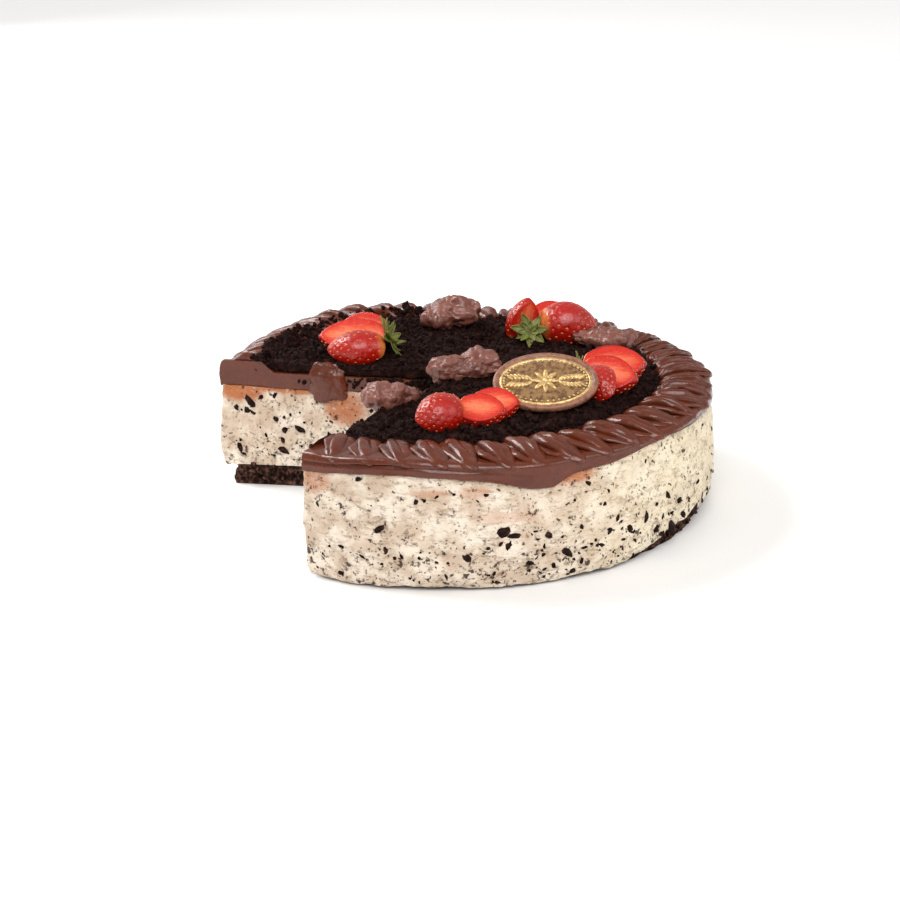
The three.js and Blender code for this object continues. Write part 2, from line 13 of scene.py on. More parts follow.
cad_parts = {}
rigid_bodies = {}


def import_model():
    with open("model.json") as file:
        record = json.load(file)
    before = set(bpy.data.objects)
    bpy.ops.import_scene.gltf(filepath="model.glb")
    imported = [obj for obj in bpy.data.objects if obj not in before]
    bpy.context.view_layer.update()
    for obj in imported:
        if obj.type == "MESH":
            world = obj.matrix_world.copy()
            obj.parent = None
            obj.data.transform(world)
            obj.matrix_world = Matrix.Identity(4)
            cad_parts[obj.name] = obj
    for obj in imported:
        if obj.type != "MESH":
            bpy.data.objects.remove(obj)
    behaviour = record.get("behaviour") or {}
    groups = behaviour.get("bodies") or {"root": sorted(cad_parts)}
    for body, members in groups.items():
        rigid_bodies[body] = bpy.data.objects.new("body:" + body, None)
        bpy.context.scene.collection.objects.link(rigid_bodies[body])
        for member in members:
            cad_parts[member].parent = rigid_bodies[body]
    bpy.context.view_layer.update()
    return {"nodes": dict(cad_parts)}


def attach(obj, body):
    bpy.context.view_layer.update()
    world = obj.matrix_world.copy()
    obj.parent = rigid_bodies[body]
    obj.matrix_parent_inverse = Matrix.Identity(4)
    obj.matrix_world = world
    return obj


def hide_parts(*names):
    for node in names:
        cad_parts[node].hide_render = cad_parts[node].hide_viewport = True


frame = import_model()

mm = 0.001

cake = {
    "radius": 120.0,
    "crustRadius": 117.5,
    "crustTop": 10.3,
    "creamTop": 50.8,
    "slabTop": 57.5,
    "pipingTop": 66.0,
    "sliceFrom": 168.5,  # azimuths of the two cuts
    "sliceTo": 235.0,
    "bedEdge": 94.5,  # how far out the crumbs reach
    "bedThickness": 4.6,
    "gap": 0.3,
    "coatGap": 0.5,
}


# Camera

cameraPlan = {
    "distance": 970.1,  # from the middle of the cake's foot
    "elevation": 20.87,
    "roll": -1.53,
    "lens": 78.74,
    "sensor": 36.0,
    "pictureWidth": 900,
    "footRight": 12.5,  # where the foot's middle shows, in pixels from the picture's middle
    "footBelow": 43.2,
}


def makeCamera(plan):
    lift, roll = math.radians(plan["elevation"]), math.radians(plan["roll"])
    place = Vector((0, -math.cos(lift), math.sin(lift))) * plan["distance"] * mm
    ahead = -place.normalized()
    level = Vector((1, 0, 0))
    right = level * math.cos(roll) + level.cross(ahead) * math.sin(roll)
    up = right.cross(ahead)
    focal = plan["lens"] / plan["sensor"] * plan["pictureWidth"]
    back = -(ahead * focal - right * plan["footRight"] + up * plan["footBelow"]).normalized()
    right = (right - back * right.dot(back)).normalized()
    data = bpy.data.cameras.new("camera")
    data.lens, data.sensor_width, data.clip_start = plan["lens"], plan["sensor"], 0.01
    camera = bpy.data.objects.new("camera", data)
    turn = Matrix((right, back.cross(right), back)).transposed().to_4x4()
    camera.matrix_world = Matrix.Translation(place) @ turn
    bpy.context.scene.collection.objects.link(camera)
    bpy.context.scene.camera = camera


makeCamera(cameraPlan)
print("camera placed")


# Smooth noise and the cake's own form

def draw(n):  # the same index always gives the same number from 0 to 1
    s = np.sin(np.asarray(n, float) * 127.1 + 11.7) * 43758.5453
    return s - np.floor(s)


def between(n, low, high):
    return low + (high - low) * draw(n)


def stacked(x, y, z):
    return np.stack(np.broadcast_arrays(x, y, z), -1).astype(float)


def noise(x, y, z):  # from -1 to 1, changing over about one unit
    place = stacked(x, y, z)
    cell = np.floor(place)
    part = place - cell
    part = part * part * (3 - 2 * part)
    total = 0
    for corner in range(8):
        step = np.array([corner & 1, corner >> 1 & 1, corner >> 2])
        share = np.where(step, part, 1 - part).prod(-1)
        i, j, k = np.moveaxis(cell + step, -1, 0)
        total = total + share * draw(i * 1.37 + j * 57.31 + k * 113.93)
    return 2 * total - 1


def layered(points, size, layers, seed, step, bend):  # noise of several sizes, each half the last
    total = 0
    for n in range(layers):
        p = points / (size * 0.5**n) + seed + step * n
        total = total + bend(noise(*np.moveaxis(p, -1, 0))) * 0.5**n
    return total


def rough(points, size, layers=2, seed=0.0):  # hills and pits round 0
    return layered(points, size, layers, seed, 7.3, np.positive)


def knobs(points, size, layers=2, seed=0.0):  # round domes with creases between, from 0 up
    return layered(points, size, layers, seed, 3.7, np.abs)


def smoothstep(x, low, high):
    t = np.clip((x - low) / (high - low), 0, 1)
    return t * t * (3 - 2 * t)


def bump(azimuth, centre, width):
    apart = (azimuth - centre + 180) % 360 - 180
    return np.exp(-((apart / width) ** 2))


def along(azimuth, r, z):
    angle = np.radians(azimuth)
    return stacked(r * np.cos(angle), r * np.sin(angle), z)


def lengthOf(points):  # distance from the cake's axis
    return np.hypot(points[..., 0], points[..., 1])


def azimuthOf(points):
    return np.degrees(np.arctan2(points[..., 1], points[..., 0])) % 360


def around(azimuth, waves, seed):  # noise round the cake
    x, y, _ = np.moveaxis(along(azimuth, 1, 0), -1, 0)
    return noise(x * waves, y * waves, seed)


def grained(points, across, up, shift=0.0):  # noise with cells this wide and this high
    return noise(points[..., 0] / across, points[..., 1] / across, points[..., 2] / up + shift)


swells = {  # where the form departs from round: how much, azimuth, width or a width for each side
    "back": (6.6, 126, 34),
    "front": (3.2, 257, 17),
    "creamRight": (4.1, 322, 17),
    "bare": [(12, 331, 17), (6, 95, 16), (10, 166, 8)],  # crust that the cream leaves bare
    "drips": [(5, 288, 9, 4), (1.6, 150, 9), (1.3, 60, 12)],
    "bedLeft": (5.5, 164, 9),  # the crumbs reach further out beside the rear cut
}


def swell(azimuth, *places):
    total = 0
    for much, centre, *widths in places:
        width = np.where(azimuth < centre, widths[0], widths[-1])
        total = total + much * bump(azimuth, centre, width)
    return total


def topRise(azimuth, r):
    back = swell(azimuth, swells["back"]) * smoothstep(r, 30, 108)
    return back + swell(azimuth, swells["front"]) * smoothstep(r, 80, 116)


def creamRise(azimuth, r):
    swollen = swell(azimuth, swells["back"], swells["front"], swells["creamRight"])
    return swollen * smoothstep(r, 80, 116)


def creamRadius(azimuth, z):
    belly = 3.4 * np.sin(np.pi * np.minimum(1, (z + 8) / (cake["creamTop"] + 10)))
    return cake["radius"] - 0.9 + belly + 0.7 * grained(along(azimuth, cake["radius"], z), 17, 7)


def coatBottom(azimuth):
    bare = swell(azimuth, *swells["bare"])
    torn = around(azimuth, 9, 2) + 0.7 * around(azimuth, 31, 5)
    return 1 + np.clip(bare + 0.7 + (0.6 + 0.12 * bare) * torn, 0, 8.8)


def dripDepth(azimuth):
    return 0.7 + 0.4 * around(azimuth, 6, 4) + swell(azimuth, *swells["drips"])


def bedEdge(azimuth):
    return cake["bedEdge"] + swell(azimuth, swells["bedLeft"])


mound = {"x": 40.5, "y": -44.5, "high": 11.5, "wide": 17.0}  # crumbs heaped under the medallion


def bedHeight(x, y):
    r = np.hypot(x, y)
    azimuth = np.degrees(np.arctan2(y, x)) % 360
    edge = smoothstep(bedEdge(azimuth) + 1 - r, 0, 7)
    apart = (x - mound["x"]) ** 2 + (y - mound["y"]) ** 2
    heap = mound["high"] * np.exp(-apart / mound["wide"] ** 2)
    thickness = cake["bedThickness"] - 1.2 + 1.1 * noise(x / 16, y / 16, 2)
    return cake["slabTop"] + topRise(azimuth, r) + 1.2 + thickness * edge + heap


# Meshes and pieces

def smooth(mesh):
    mesh.polygons.foreach_set("use_smooth", [True] * len(mesh.polygons))


def makeMesh(name, points, faces):
    mesh = bpy.data.meshes.new(name)
    mesh.from_pydata((np.asarray(points) * mm).tolist(), [], faces)
    smooth(mesh)
    mesh.update()
    return mesh


def settled(name, build):  # a mesh of what a bmesh holds; the bmesh is freed
    mesh = bpy.data.meshes.new(name)
    build.to_mesh(mesh)
    build.free()
    return mesh


def addObject(name, mesh):
    thing = bpy.data.objects.new(name, mesh)
    bpy.context.scene.collection.objects.link(thing)
    return thing


def addPiece(name, mesh, finish, slot, *nodes):
    mesh.materials.clear()
    mesh.materials.append(finish)
    mesh.name = name
    piece = addObject(name, mesh)
    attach(piece, "root")
    if nodes:
        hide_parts(*nodes)
    print(name, "made with", len(mesh.polygons), "faces")
    return piece


def readVectors(items, key):
    flat = np.empty(len(items) * 3, np.float32)
    items.foreach_get(key, flat)
    return flat.reshape(-1, 3).astype(float)


def pointsOf(mesh):
    return readVectors(mesh.vertices, "co") / mm


def normalsOf(mesh):
    return readVectors(mesh.vertex_normals, "vector")


def movePoints(mesh, points):
    mesh.vertices.foreach_set("co", (points * mm).astype(np.float32).ravel())
    mesh.update()


def crisp(mesh, degrees=48):  # edges turned by more than this shade as corners
    smooth(mesh)
    mesh.set_sharp_from_angle(angle=math.radians(degrees))


def roughen(mesh, amount):  # moves each vertex out by amount(points), in mm
    points = pointsOf(mesh)
    movePoints(mesh, points + normalsOf(mesh) * amount(points)[:, None])


def evaluated(thing):  # the object's finished mesh; the object itself is removed
    depsgraph = bpy.context.evaluated_depsgraph_get()
    mesh = bpy.data.meshes.new_from_object(thing.evaluated_get(depsgraph))
    bpy.data.objects.remove(thing)
    return mesh


def remeshed(mesh, voxel, rounds):
    thing = addObject("remeshing", mesh)
    remesh = thing.modifiers.new("remesh", "REMESH")
    remesh.mode, remesh.voxel_size, remesh.use_smooth_shade = "VOXEL", voxel * mm, True
    even = thing.modifiers.new("even", "SMOOTH")
    even.factor, even.iterations = 0.5, rounds
    return evaluated(thing)


def setAttribute(mesh, name, kind, values):
    layer = mesh.attributes.new(name, kind, "POINT")
    layer.data.foreach_set("vector" if kind == "FLOAT_VECTOR" else "value", np.ravel(values))


def ringAngles(count):
    return np.linspace(0, 2 * np.pi, count, endpoint=False)


def easedShares(count):  # from 0 to 1, closer together at both ends
    return 0.5 - 0.5 * np.cos(np.pi * np.linspace(0, 1, count))


def gridFaces(rows, columns, start=0, closed=True):  # quads between rows of points, closed into rings
    faces = []
    for a in range(start, start + (rows - 1) * columns, columns):
        for j in range(columns if closed else columns - 1):
            k = (j + 1) % columns
            faces.append((a + j, a + k, a + columns + k, a + columns + j))
    return faces


def capFaces(start, columns, middle):  # triangles from a ring of points to its middle
    return [(start + j, start + (j + 1) % columns, middle) for j in range(columns)]


def flipped(faces):
    return [face[::-1] for face in faces]


# A closed solid over the cake's sector, as a grid of radii, heights and azimuths. A radius may be a
# function of the azimuth. rings names the radii that the top's faces use, and roots the bottom's.
def sectorSolid(name, radii, shares, columns, rim, lower, upper, rings, roots):
    azimuths = np.linspace(cake["sliceTo"], 360 + cake["sliceFrom"], columns)
    last, top, end = len(radii), len(shares) - 1, columns - 1
    points, faces = [], []

    @cache
    def row(i, k):  # the points of all azimuths at one radius and height
        if i == last:
            r = rim(azimuths, shares[k])
        else:
            r = radii[i](azimuths) if callable(radii[i]) else radii[i]
        low, high = lower(azimuths, r), upper(azimuths, r)
        return along(azimuths, r, low + (high - low) * shares[k])

    @cache
    def number(i, k, j):
        points.append(row(i, k)[j])
        return len(points) - 1

    def at(i, k, j):  # on the axis all azimuths share one point
        return number(i, k, j if i else 0)

    for j in range(end):  # the side
        for k in range(top):
            faces.append([at(last, k, j), at(last, k, j + 1), at(last, k + 1, j + 1), at(last, k + 1, j)])
    for i in range(last):  # the two cuts
        for k in range(top):
            faces.append([at(i, k, 0), at(i + 1, k, 0), at(i + 1, k + 1, 0), at(i, k + 1, 0)])
            faces.append([at(i, k, end), at(i, k + 1, end), at(i + 1, k + 1, end), at(i + 1, k, end)])
    for k, chosen in ((top, rings), (0, roots)):  # the top and the bottom
        turn = 1 if k else -1
        chosen = [*chosen, last]
        for a, b in zip(chosen, chosen[1:]):
            for j in range(end):
                near = range(a, b + 1) if j == 0 else (a, b)
                far = range(b, a - 1, -1) if j == end - 1 else (b, a)
                faces.append([*(at(i, k, j) for i in near), *(at(i, k, j + 1) for i in far)][::turn])
        out = [at(i, k, 0) for i in range(chosen[0])]
        ring = [at(chosen[0], k, j) for j in range(end + 1)]
        back = [at(i, k, end) for i in range(chosen[0] - 1, 0, -1)]
        faces.append((out + ring + back)[::turn])
    return makeMesh(name, points, faces)


intoCake = (along(cake["sliceFrom"] - 90, 1, 0), along(cake["sliceTo"] + 90, 1, 0))


def cutDistance(points):  # how far points are inside each of the two cuts' planes
    return [points @ inward for inward in intoCake]


def nearCut(points, reach):  # which points are this close to either cut
    return np.minimum(*[np.abs(inside) for inside in cutDistance(points)]) < reach


def trimmed(points, setback):  # points in the missing slice go out to the nearer cut
    first, second = (np.maximum(setback - inside, 0) for inside in cutDistance(points))
    cut = (first > 0) & (second > 0)
    toFirst = np.where(cut & (first <= second), first, 0)
    toSecond = np.where(cut & (first > second), second, 0)
    return points + toFirst[:, None] * intoCake[0] + toSecond[:, None] * intoCake[1]


# Materials. Each node is added to the tree that its inputs come from.

def isSocket(value):
    return isinstance(value, bpy.types.NodeSocket)


def tone(colour):  # a colour given as it looks, from 0 to 255
    share = np.array(colour) / 255
    linear = np.where(share <= 0.04045, share / 12.92, ((share + 0.055) / 1.055) ** 2.4)
    return (*(float(v) for v in linear), 1.0)


def connect(node, inputs):
    for key, value in inputs.items():
        if isSocket(value):
            value.id_data.links.new(value, node.inputs[key])
        else:
            node.inputs[key].default_value = value


def wire(kind, inputs, out=0, tree=None, **settings):
    tree = tree or next(value.id_data for value in inputs.values() if isSocket(value))
    node = tree.nodes.new(kind)
    for key, value in settings.items():
        setattr(node, key, value)
    connect(node, inputs)
    return node.outputs[out]


def calc(operation, a, b=0.0):
    return wire("ShaderNodeMath", {0: a, 1: b}, operation=operation)


def times(a, b):
    return calc("MULTIPLY", a, b)


def plus(a, b):
    return calc("ADD", a, b)


def minus(a, b):
    return calc("SUBTRACT", a, b)


def vectorCalc(operation, a, b):
    return wire("ShaderNodeVectorMath", {0: a, 3 if operation == "SCALE" else 1: b}, operation=operation)


def distance(vector):
    return wire("ShaderNodeVectorMath", {0: vector}, "Value", operation="LENGTH")


def partsOf(vector):
    return wire("ShaderNodeSeparateXYZ", {0: vector}).node.outputs


def mixed(share, a, b):  # a and b are colours or sockets
    a, b = (value if isSocket(value) else tone(value) for value in (a, b))
    return wire("ShaderNodeMix", {0: share, 6: a, 7: b}, 2, data_type="RGBA")


def ramp(value, low, high, start=0.0, end=1.0):
    inputs = {"Value": value, "From Min": low, "From Max": high, "To Min": start, "To Max": end}
    return wire("ShaderNodeMapRange", inputs, interpolation_type="SMOOTHSTEP")


def cloud(place, size, detail=3.0, roughness=0.55, out=0):
    inputs = {"Vector": place, "Scale": 1 / (size * mm), "Detail": detail, "Roughness": roughness}
    return wire("ShaderNodeTexNoise", inputs, out)


def shifted(place, size, amount):  # the place, pushed about so that shapes turn uneven
    wander = vectorCalc("SUBTRACT", cloud(place, size, 2.0, 0.5, "Color"), (0.5, 0.5, 0.5))
    return vectorCalc("ADD", place, vectorCalc("SCALE", wander, amount * mm))


def ball(place, centre, radii):  # 1 at the centre of an ellipsoid, 0 outside it
    offset = vectorCalc("SUBTRACT", place, tuple(c * mm for c in centre))
    return ramp(distance(vectorCalc("DIVIDE", offset, tuple(r * mm for r in radii))), 1.0, 0.5)


def wrapped(place, stretch):  # the place as distance round the cake, height and radius
    x, y, z = partsOf(place)
    turn = times(calc("ARCTAN2", y, x), cake["radius"] * mm * stretch)
    radius = distance(vectorCalc("MULTIPLY", place, (1, 1, 0)))
    return wire("ShaderNodeCombineXYZ", {"X": turn, "Y": z, "Z": radius})


def newFinish(name, surface, look):  # surface gives the colour, the roughness and the relief's height
    finish = bpy.data.materials.new(name)
    finish.use_nodes = True
    tree = finish.node_tree
    colour, roughness, height = surface(wire("ShaderNodeTexCoord", {}, "Object", tree), look)
    sockets = {**look["sockets"], "Base Color": colour, "Roughness": roughness}
    if height is not None:
        sockets["Normal"] = wire("ShaderNodeBump", {"Height": height, "Distance": look["depth"] * mm})
    connect(tree.nodes["Principled BSDF"], sockets)
    return finish


creamLook = {
    "pale": (237, 223, 205),
    "deep": (206, 183, 160),
    "speck": (50, 34, 29),
    "buried": (134, 112, 94),
    "stain": (184, 102, 48),
    "halo": (150, 122, 94),
    # painted light: a yellower tint laid on the cream's right side, where the light falls
    "warm": (238, 224, 192),
    "smears": [  # centre, half lengths and strength of each patch of ganache smeared into the cream
        ((-108, 22, 49.5), (15, 12, 8), 0.9),
        ((-80, 16, 51.5), (48, 12, 4.5), 0.9),
        ((-57, 11, 42), (14, 9, 12), 0.8),
        ((-64, -103, 48), (9, 9, 9), 0.55),
        ((50, -111, 50.5), (15, 12, 7.5), 0.8),
        ((-15, -121, 45.5), (14, 7, 2.2), 0.4),
        ((5, -122, 46), (10, 6, 4), 0.35),
        ((20, -120, 34), (20, 7, 3.4), 0.3),
    ],
    "depth": 0.9,
    "sockets": {
        "Subsurface Weight": 0.12, "Subsurface Radius": (1.0, 0.7, 0.45), "Subsurface Scale": 0.002,
        "Specular IOR Level": 0.3,
    },
}


def creamSurface(place, look):
    streaky = wrapped(place, 0.4)
    uneven = shifted(place, 3, 3.4)
    right, _, height = partsOf(place)
    colour = mixed(ramp(cloud(place, 12, 3), 0.36, 0.64), look["pale"], look["deep"])
    # Painted light: the cream turns yellower towards the right side, as if lit from there.
    colour = mixed(ramp(right, 20 * mm, 110 * mm, 0, 0.7), colour, look["warm"])
    colour = mixed(ramp(cloud(streaky, 2.8, 4, 0.65), 0.5, 0.7, 0, 0.6), colour, look["halo"])
    # Thin curved creases, where the spatula dragged crumbs along.
    swirl = calc("ABSOLUTE", minus(cloud(streaky, 5.5, 3, 0.6), 0.5))
    crease = times(ramp(swirl, 0.05, 0.0), ramp(cloud(place, 8), 0.45, 0.65))
    colour = mixed(times(crease, 0.3), colour, look["halo"])
    stain = 0.0
    for centre, radii, strength in look["smears"]:
        stain = calc("MAXIMUM", stain, times(ball(uneven, centre, radii), strength))
    colour = mixed(times(stain, ramp(cloud(uneven, 2.4, 4), 0.26, 0.42)), colour, look["stain"])
    # Ground cookie colours the cream in clustered specks of two sizes, more of them low down.
    crowd = times(minus(cloud(place, 9, 2), 0.5), 0.22)
    crowd = plus(crowd, ramp(height, 36 * mm, 8 * mm, 0, 0.025))
    wandered = shifted(place, 2, 1.0)
    buried = ramp(plus(cloud(wandered, 2.6, 1.5, 0.5), crowd), 0.61, 0.71)
    colour = mixed(times(buried, 0.6), colour, look["buried"])
    fine = ramp(plus(cloud(place, 1.7, 1, 0.5), crowd), 0.68, 0.75)
    coarse = ramp(plus(cloud(wandered, 3.0, 3, 0.6), crowd), 0.635, 0.68)
    dark = calc("MAXIMUM", times(fine, 0.75), coarse)
    colour = mixed(times(dark, 0.92), colour, look["speck"])
    pores = plus(cloud(place, 1.3, 4, 0.65), cloud(streaky, 3.5, 3))
    relief = minus(pores, times(plus(dark, crease), 0.4))
    return colour, ramp(cloud(place, 5), 0.3, 0.7, 0.38, 0.66), relief


ganacheLook = {
    "light": (107, 46, 22), "dark": (68, 26, 11), "roughness": (0.18, 0.38), "grain": 5.0, "depth": 0.25,
    "sockets": {"Specular IOR Level": 0.42, "Coat Weight": 0.12, "Coat Roughness": 0.12},
}
chunkLook = {
    **ganacheLook,
    "light": (150, 94, 80), "dark": (78, 40, 32), "roughness": (0.16, 0.4), "grain": 2.6, "depth": 0.6,
}


def ganacheSurface(place, look):
    colour = mixed(cloud(place, 9, 4), look["light"], look["dark"])
    sheen = ramp(cloud(place, 4, 4), 0.35, 0.68, *look["roughness"])
    return colour, sheen, plus(cloud(place, look["grain"], 3), times(cloud(place, 1.2, 3), 0.25))


crumbLook = {
    "tones": [(23, 10, 8), (54, 28, 22)],
    "patches": (2.2, 4, 0.6),  # size, detail and roughness of the noise
    "border": (0.42, 0.75),  # where in the noise one tone ends and the other starts
    "sheen": (1.5, 3),
    "roughness": (0.6, 0.95),
    "grain": (0.9, 4, 0.7),
    "depth": 0.5,
    "sockets": {"Specular IOR Level": 0.08},
}
crustTones = [(27, 13, 10), (118, 84, 70)]
bitTones = [(26, 14, 12), (66, 44, 37)]


def mottledSurface(place, look):  # two tones in patches
    colour = mixed(ramp(cloud(place, *look["patches"]), *look["border"]), *look["tones"])
    sheen = ramp(cloud(place, *look["sheen"]), 0.3, 0.7, *look["roughness"])
    return colour, sheen, cloud(place, *look["grain"])


creamPaint = newFinish("creamFinish", creamSurface, creamLook)
ganachePaint = newFinish("ganacheFinish", ganacheSurface, ganacheLook)
chunkPaint = newFinish("chunkFinish", ganacheSurface, chunkLook)
crumbPaint = newFinish("crumbFinish", mottledSurface, crumbLook)
crustPaint = newFinish("crustFinish", mottledSurface, {**crumbLook, "tones": crustTones})
bitPaint = newFinish("cookieBitFinish", mottledSurface, {**crumbLook, "tones": bitTones})
print("layer finishes made")


# Geometry Nodes that set small shapes on points. Each point carries its size, turn and kind.

def placingTree():
    tree = bpy.data.node_groups.new("placeShapes", "GeometryNodeTree")
    kinds = {"Shapes": "Collection", "Uneven": "Float", "Seed": "Int", "Finish": "Material"}
    for label, kind in {"Geometry": "Geometry", **kinds}.items():
        tree.interface.new_socket(label, in_out="INPUT", socket_type=f"NodeSocket{kind}")
    tree.interface.new_socket("Geometry", in_out="OUTPUT", socket_type="NodeSocketGeometry")
    given = tree.nodes.new("NodeGroupInput").outputs

    def read(label, kind):
        return wire("GeometryNodeInputNamedAttribute", {"Name": label}, 0, tree, data_type=kind)

    shapes = wire("GeometryNodeCollectionInfo", {
        "Collection": given["Shapes"], "Separate Children": True, "Reset Children": True,
    })
    limits = {2: minus(1.0, given["Uneven"]), 3: plus(1.0, given["Uneven"]), "Seed": given["Seed"]}
    growth = wire("FunctionNodeRandomValue", limits, 1, data_type="FLOAT")
    copies = wire("GeometryNodeInstanceOnPoints", {
        "Points": given["Geometry"], "Instance": shapes, "Pick Instance": True,
        "Instance Index": read("kind", "INT"),
        "Rotation": wire("FunctionNodeEulerToRotation", {0: read("turn", "FLOAT_VECTOR")}),
        "Scale": vectorCalc("SCALE", read("size", "FLOAT_VECTOR"), growth),
    })
    real = wire("GeometryNodeRealizeInstances", {"Geometry": copies})
    done = wire("GeometryNodeSetMaterial", {"Geometry": real, "Material": given["Finish"]})
    tree.links.new(done, tree.nodes.new("NodeGroupOutput").inputs[0])
    return tree


placeShapes = placingTree()


def placed(shapes, points, sizes, turns, kinds, finish, uneven=0.0, seed=1):
    carrier = makeMesh("carrier", points, [])
    setAttribute(carrier, "size", "FLOAT_VECTOR", sizes)
    setAttribute(carrier, "turn", "FLOAT_VECTOR", turns)
    setAttribute(carrier, "kind", "INT", np.asarray(kinds, np.int32))
    store = bpy.data.collections.new("shapes")
    for n, mesh in enumerate(shapes):
        store.objects.link(bpy.data.objects.new(f"shape{n:02d}", mesh))
    thing = addObject("placing", carrier)
    setter = thing.modifiers.new("placing", "NODES")
    setter.node_group = placeShapes
    values = {"Shapes": store, "Uneven": uneven, "Seed": seed, "Finish": finish}
    for item in placeShapes.interface.items_tree:
        if item.in_out == "INPUT" and item.name in values:
            setter[item.identifier] = values[item.name]
    mesh = evaluated(thing)
    for shape in list(store.objects):
        bpy.data.objects.remove(shape)
    bpy.data.collections.remove(store)
    return mesh


def unitBall(name, create, **cuts):  # a ball of radius 1 mm and its points
    build = bmesh.new()
    create(build, radius=1.0, **cuts)
    mesh = settled(name, build)
    return mesh, pointsOf(mesh) * mm


def brokenShape(seed, sides, crag=0.3):  # a jagged bit about 2 mm across
    cuts = {"u_segments": sides, "v_segments": sides // 2 + 1}
    mesh, points = unitBall("bit", bmesh.ops.create_uvsphere, **cuts)
    least, most = np.array([0.8, 0.75, 0.5]), np.array([1.3, 1.1, 0.85])
    stretch = between(seed + np.array([0.1, 0.2, 0.3]), least, most)
    movePoints(mesh, points * stretch * (1 + crag * rough(points, 0.9, 2, seed))[:, None])
    return mesh


def domeShape(long, wide, high, point=0.0, rounds=3):  # a smooth drop lying along +X
    mesh, points = unitBall("dome", bmesh.ops.create_icosphere, subdivisions=rounds)
    points[:, 1] *= 1 - point * points[:, 0]
    movePoints(mesh, points * np.array([long, wide, high]))
    smooth(mesh)
    return mesh


def scatterOn(mesh, count, seed, wanted):  # random points on a mesh's faces and the normals there
    mesh.calc_loop_triangles()
    corners = np.empty(len(mesh.loop_triangles) * 3, np.int32)
    mesh.loop_triangles.foreach_get("vertices", corners)
    a, b, c = pointsOf(mesh)[corners.reshape(-1, 3)].transpose(1, 0, 2)
    cross = np.cross(b - a, c - a)
    area = np.linalg.norm(cross, axis=1)
    normals = cross / np.maximum(area, 1e-12)[:, None]
    weight = area * wanted((a + b + c) / 3, normals)
    chance = np.random.default_rng(seed)
    chosen = chance.choice(len(area), count, p=weight / weight.sum())
    u, v = chance.random((2, count))
    u, v = np.where(u + v > 1, 1 - u, u), np.where(u + v > 1, 1 - v, v)
    a, b, c = a[chosen], b[chosen], c[chosen]
    return a + (b - a) * u[:, None] + (c - a) * v[:, None], normals[chosen], chance


def eulers(turns):
    return np.array([turn.to_euler("XYZ") for turn in turns])


def turnsFor(normals, spin):  # turns that stand a shape's Z on each normal, spun about it
    stands = (Vector(normal).to_track_quat("Z", "Y").to_matrix() for normal in normals)
    return eulers(stand @ Matrix.Rotation(angle, 3, "Z") for stand, angle in zip(stands, spin))


# Crust

crustPlan = {"crumble": 1.6, "columns": 520}


def crustRim(azimuth, share):
    p = along(azimuth, cake["crustRadius"], share * 10)
    rounding = np.abs(2 * share - 1) ** 4
    return cake["crustRadius"] - 1 - rounding + 0.9 * grained(p, 6, 4, 9)


crustMesh = sectorSolid(
    "crust", [*np.arange(0, 115, 1.0)], np.linspace(0, 1, 11), crustPlan["columns"], crustRim,
    lambda azimuth, r: 0.0 * r, lambda azimuth, r: cake["crustTop"] - cake["gap"] + 0.0 * r, [114], [114],
)


def crustRelief(points):
    height = smoothstep(points[:, 2], 0, 1.5) * smoothstep(10.2 - points[:, 2], 0, 0.6)
    crumbly = 1.3 * rough(points, 4.0, 3) - 0.3 + 0.5 * rough(points, 1.1, 1, 5)
    return crustPlan["crumble"] * height * crumbly


roughen(crustMesh, crustRelief)
crisp(crustMesh, 60)
addPiece("crustBase", crustMesh, crustPaint, "crust", "crust")


# Cream

creamPlan = {"columns": 620, "rows": 40, "torn": 0.8}
creamRadii = [*np.arange(0, 112.5, 1.0), 114, 116, cake["crustRadius"] + 0.6, cake["crustRadius"] + 0.8]


def creamLower(azimuth, r):
    return np.where(r > cake["crustRadius"] + 0.7, coatBottom(azimuth), cake["crustTop"])


def creamUpper(azimuth, r):
    return cake["creamTop"] - cake["gap"] + creamRise(azimuth, r)


def creamRim(azimuth, share):
    low = coatBottom(azimuth)
    z = low + (creamUpper(azimuth, cake["radius"]) - low) * share
    foot = 0.7 * (1 - smoothstep(share, 0, 0.05))
    return creamRadius(azimuth, np.minimum(z, cake["creamTop"] + 2)) - foot


creamMesh = sectorSolid(
    "cream", creamRadii, np.linspace(0, 1, creamPlan["rows"]), creamPlan["columns"], creamRim,
    creamLower, creamUpper, [80, 88, 96, 104, 112], [len(creamRadii) - 2, len(creamRadii) - 1],
)


def creamRelief(points):
    pits = np.minimum(0, rough(points, 4.5, 2, 12) + 0.55)
    side = 0.45 * rough(points, 7, 2, 1) + 0.3 * rough(points, 2.6, 2, 4) + 1.1 * pits
    torn = creamPlan["torn"] * (0.8 * rough(points, 8, 2, 2) + 0.4 * rough(points, 2.6, 2, 8) - 0.3)
    level = smoothstep(points[:, 2], cake["crustTop"] - 1, cake["crustTop"] + 2)
    return np.where(nearCut(points, 0.4) & (lengthOf(points) < 117), torn * level, side)


roughen(creamMesh, creamRelief)
crisp(creamMesh, 60)
addPiece("creamFilling", creamMesh, creamPaint, "cream", "filling")

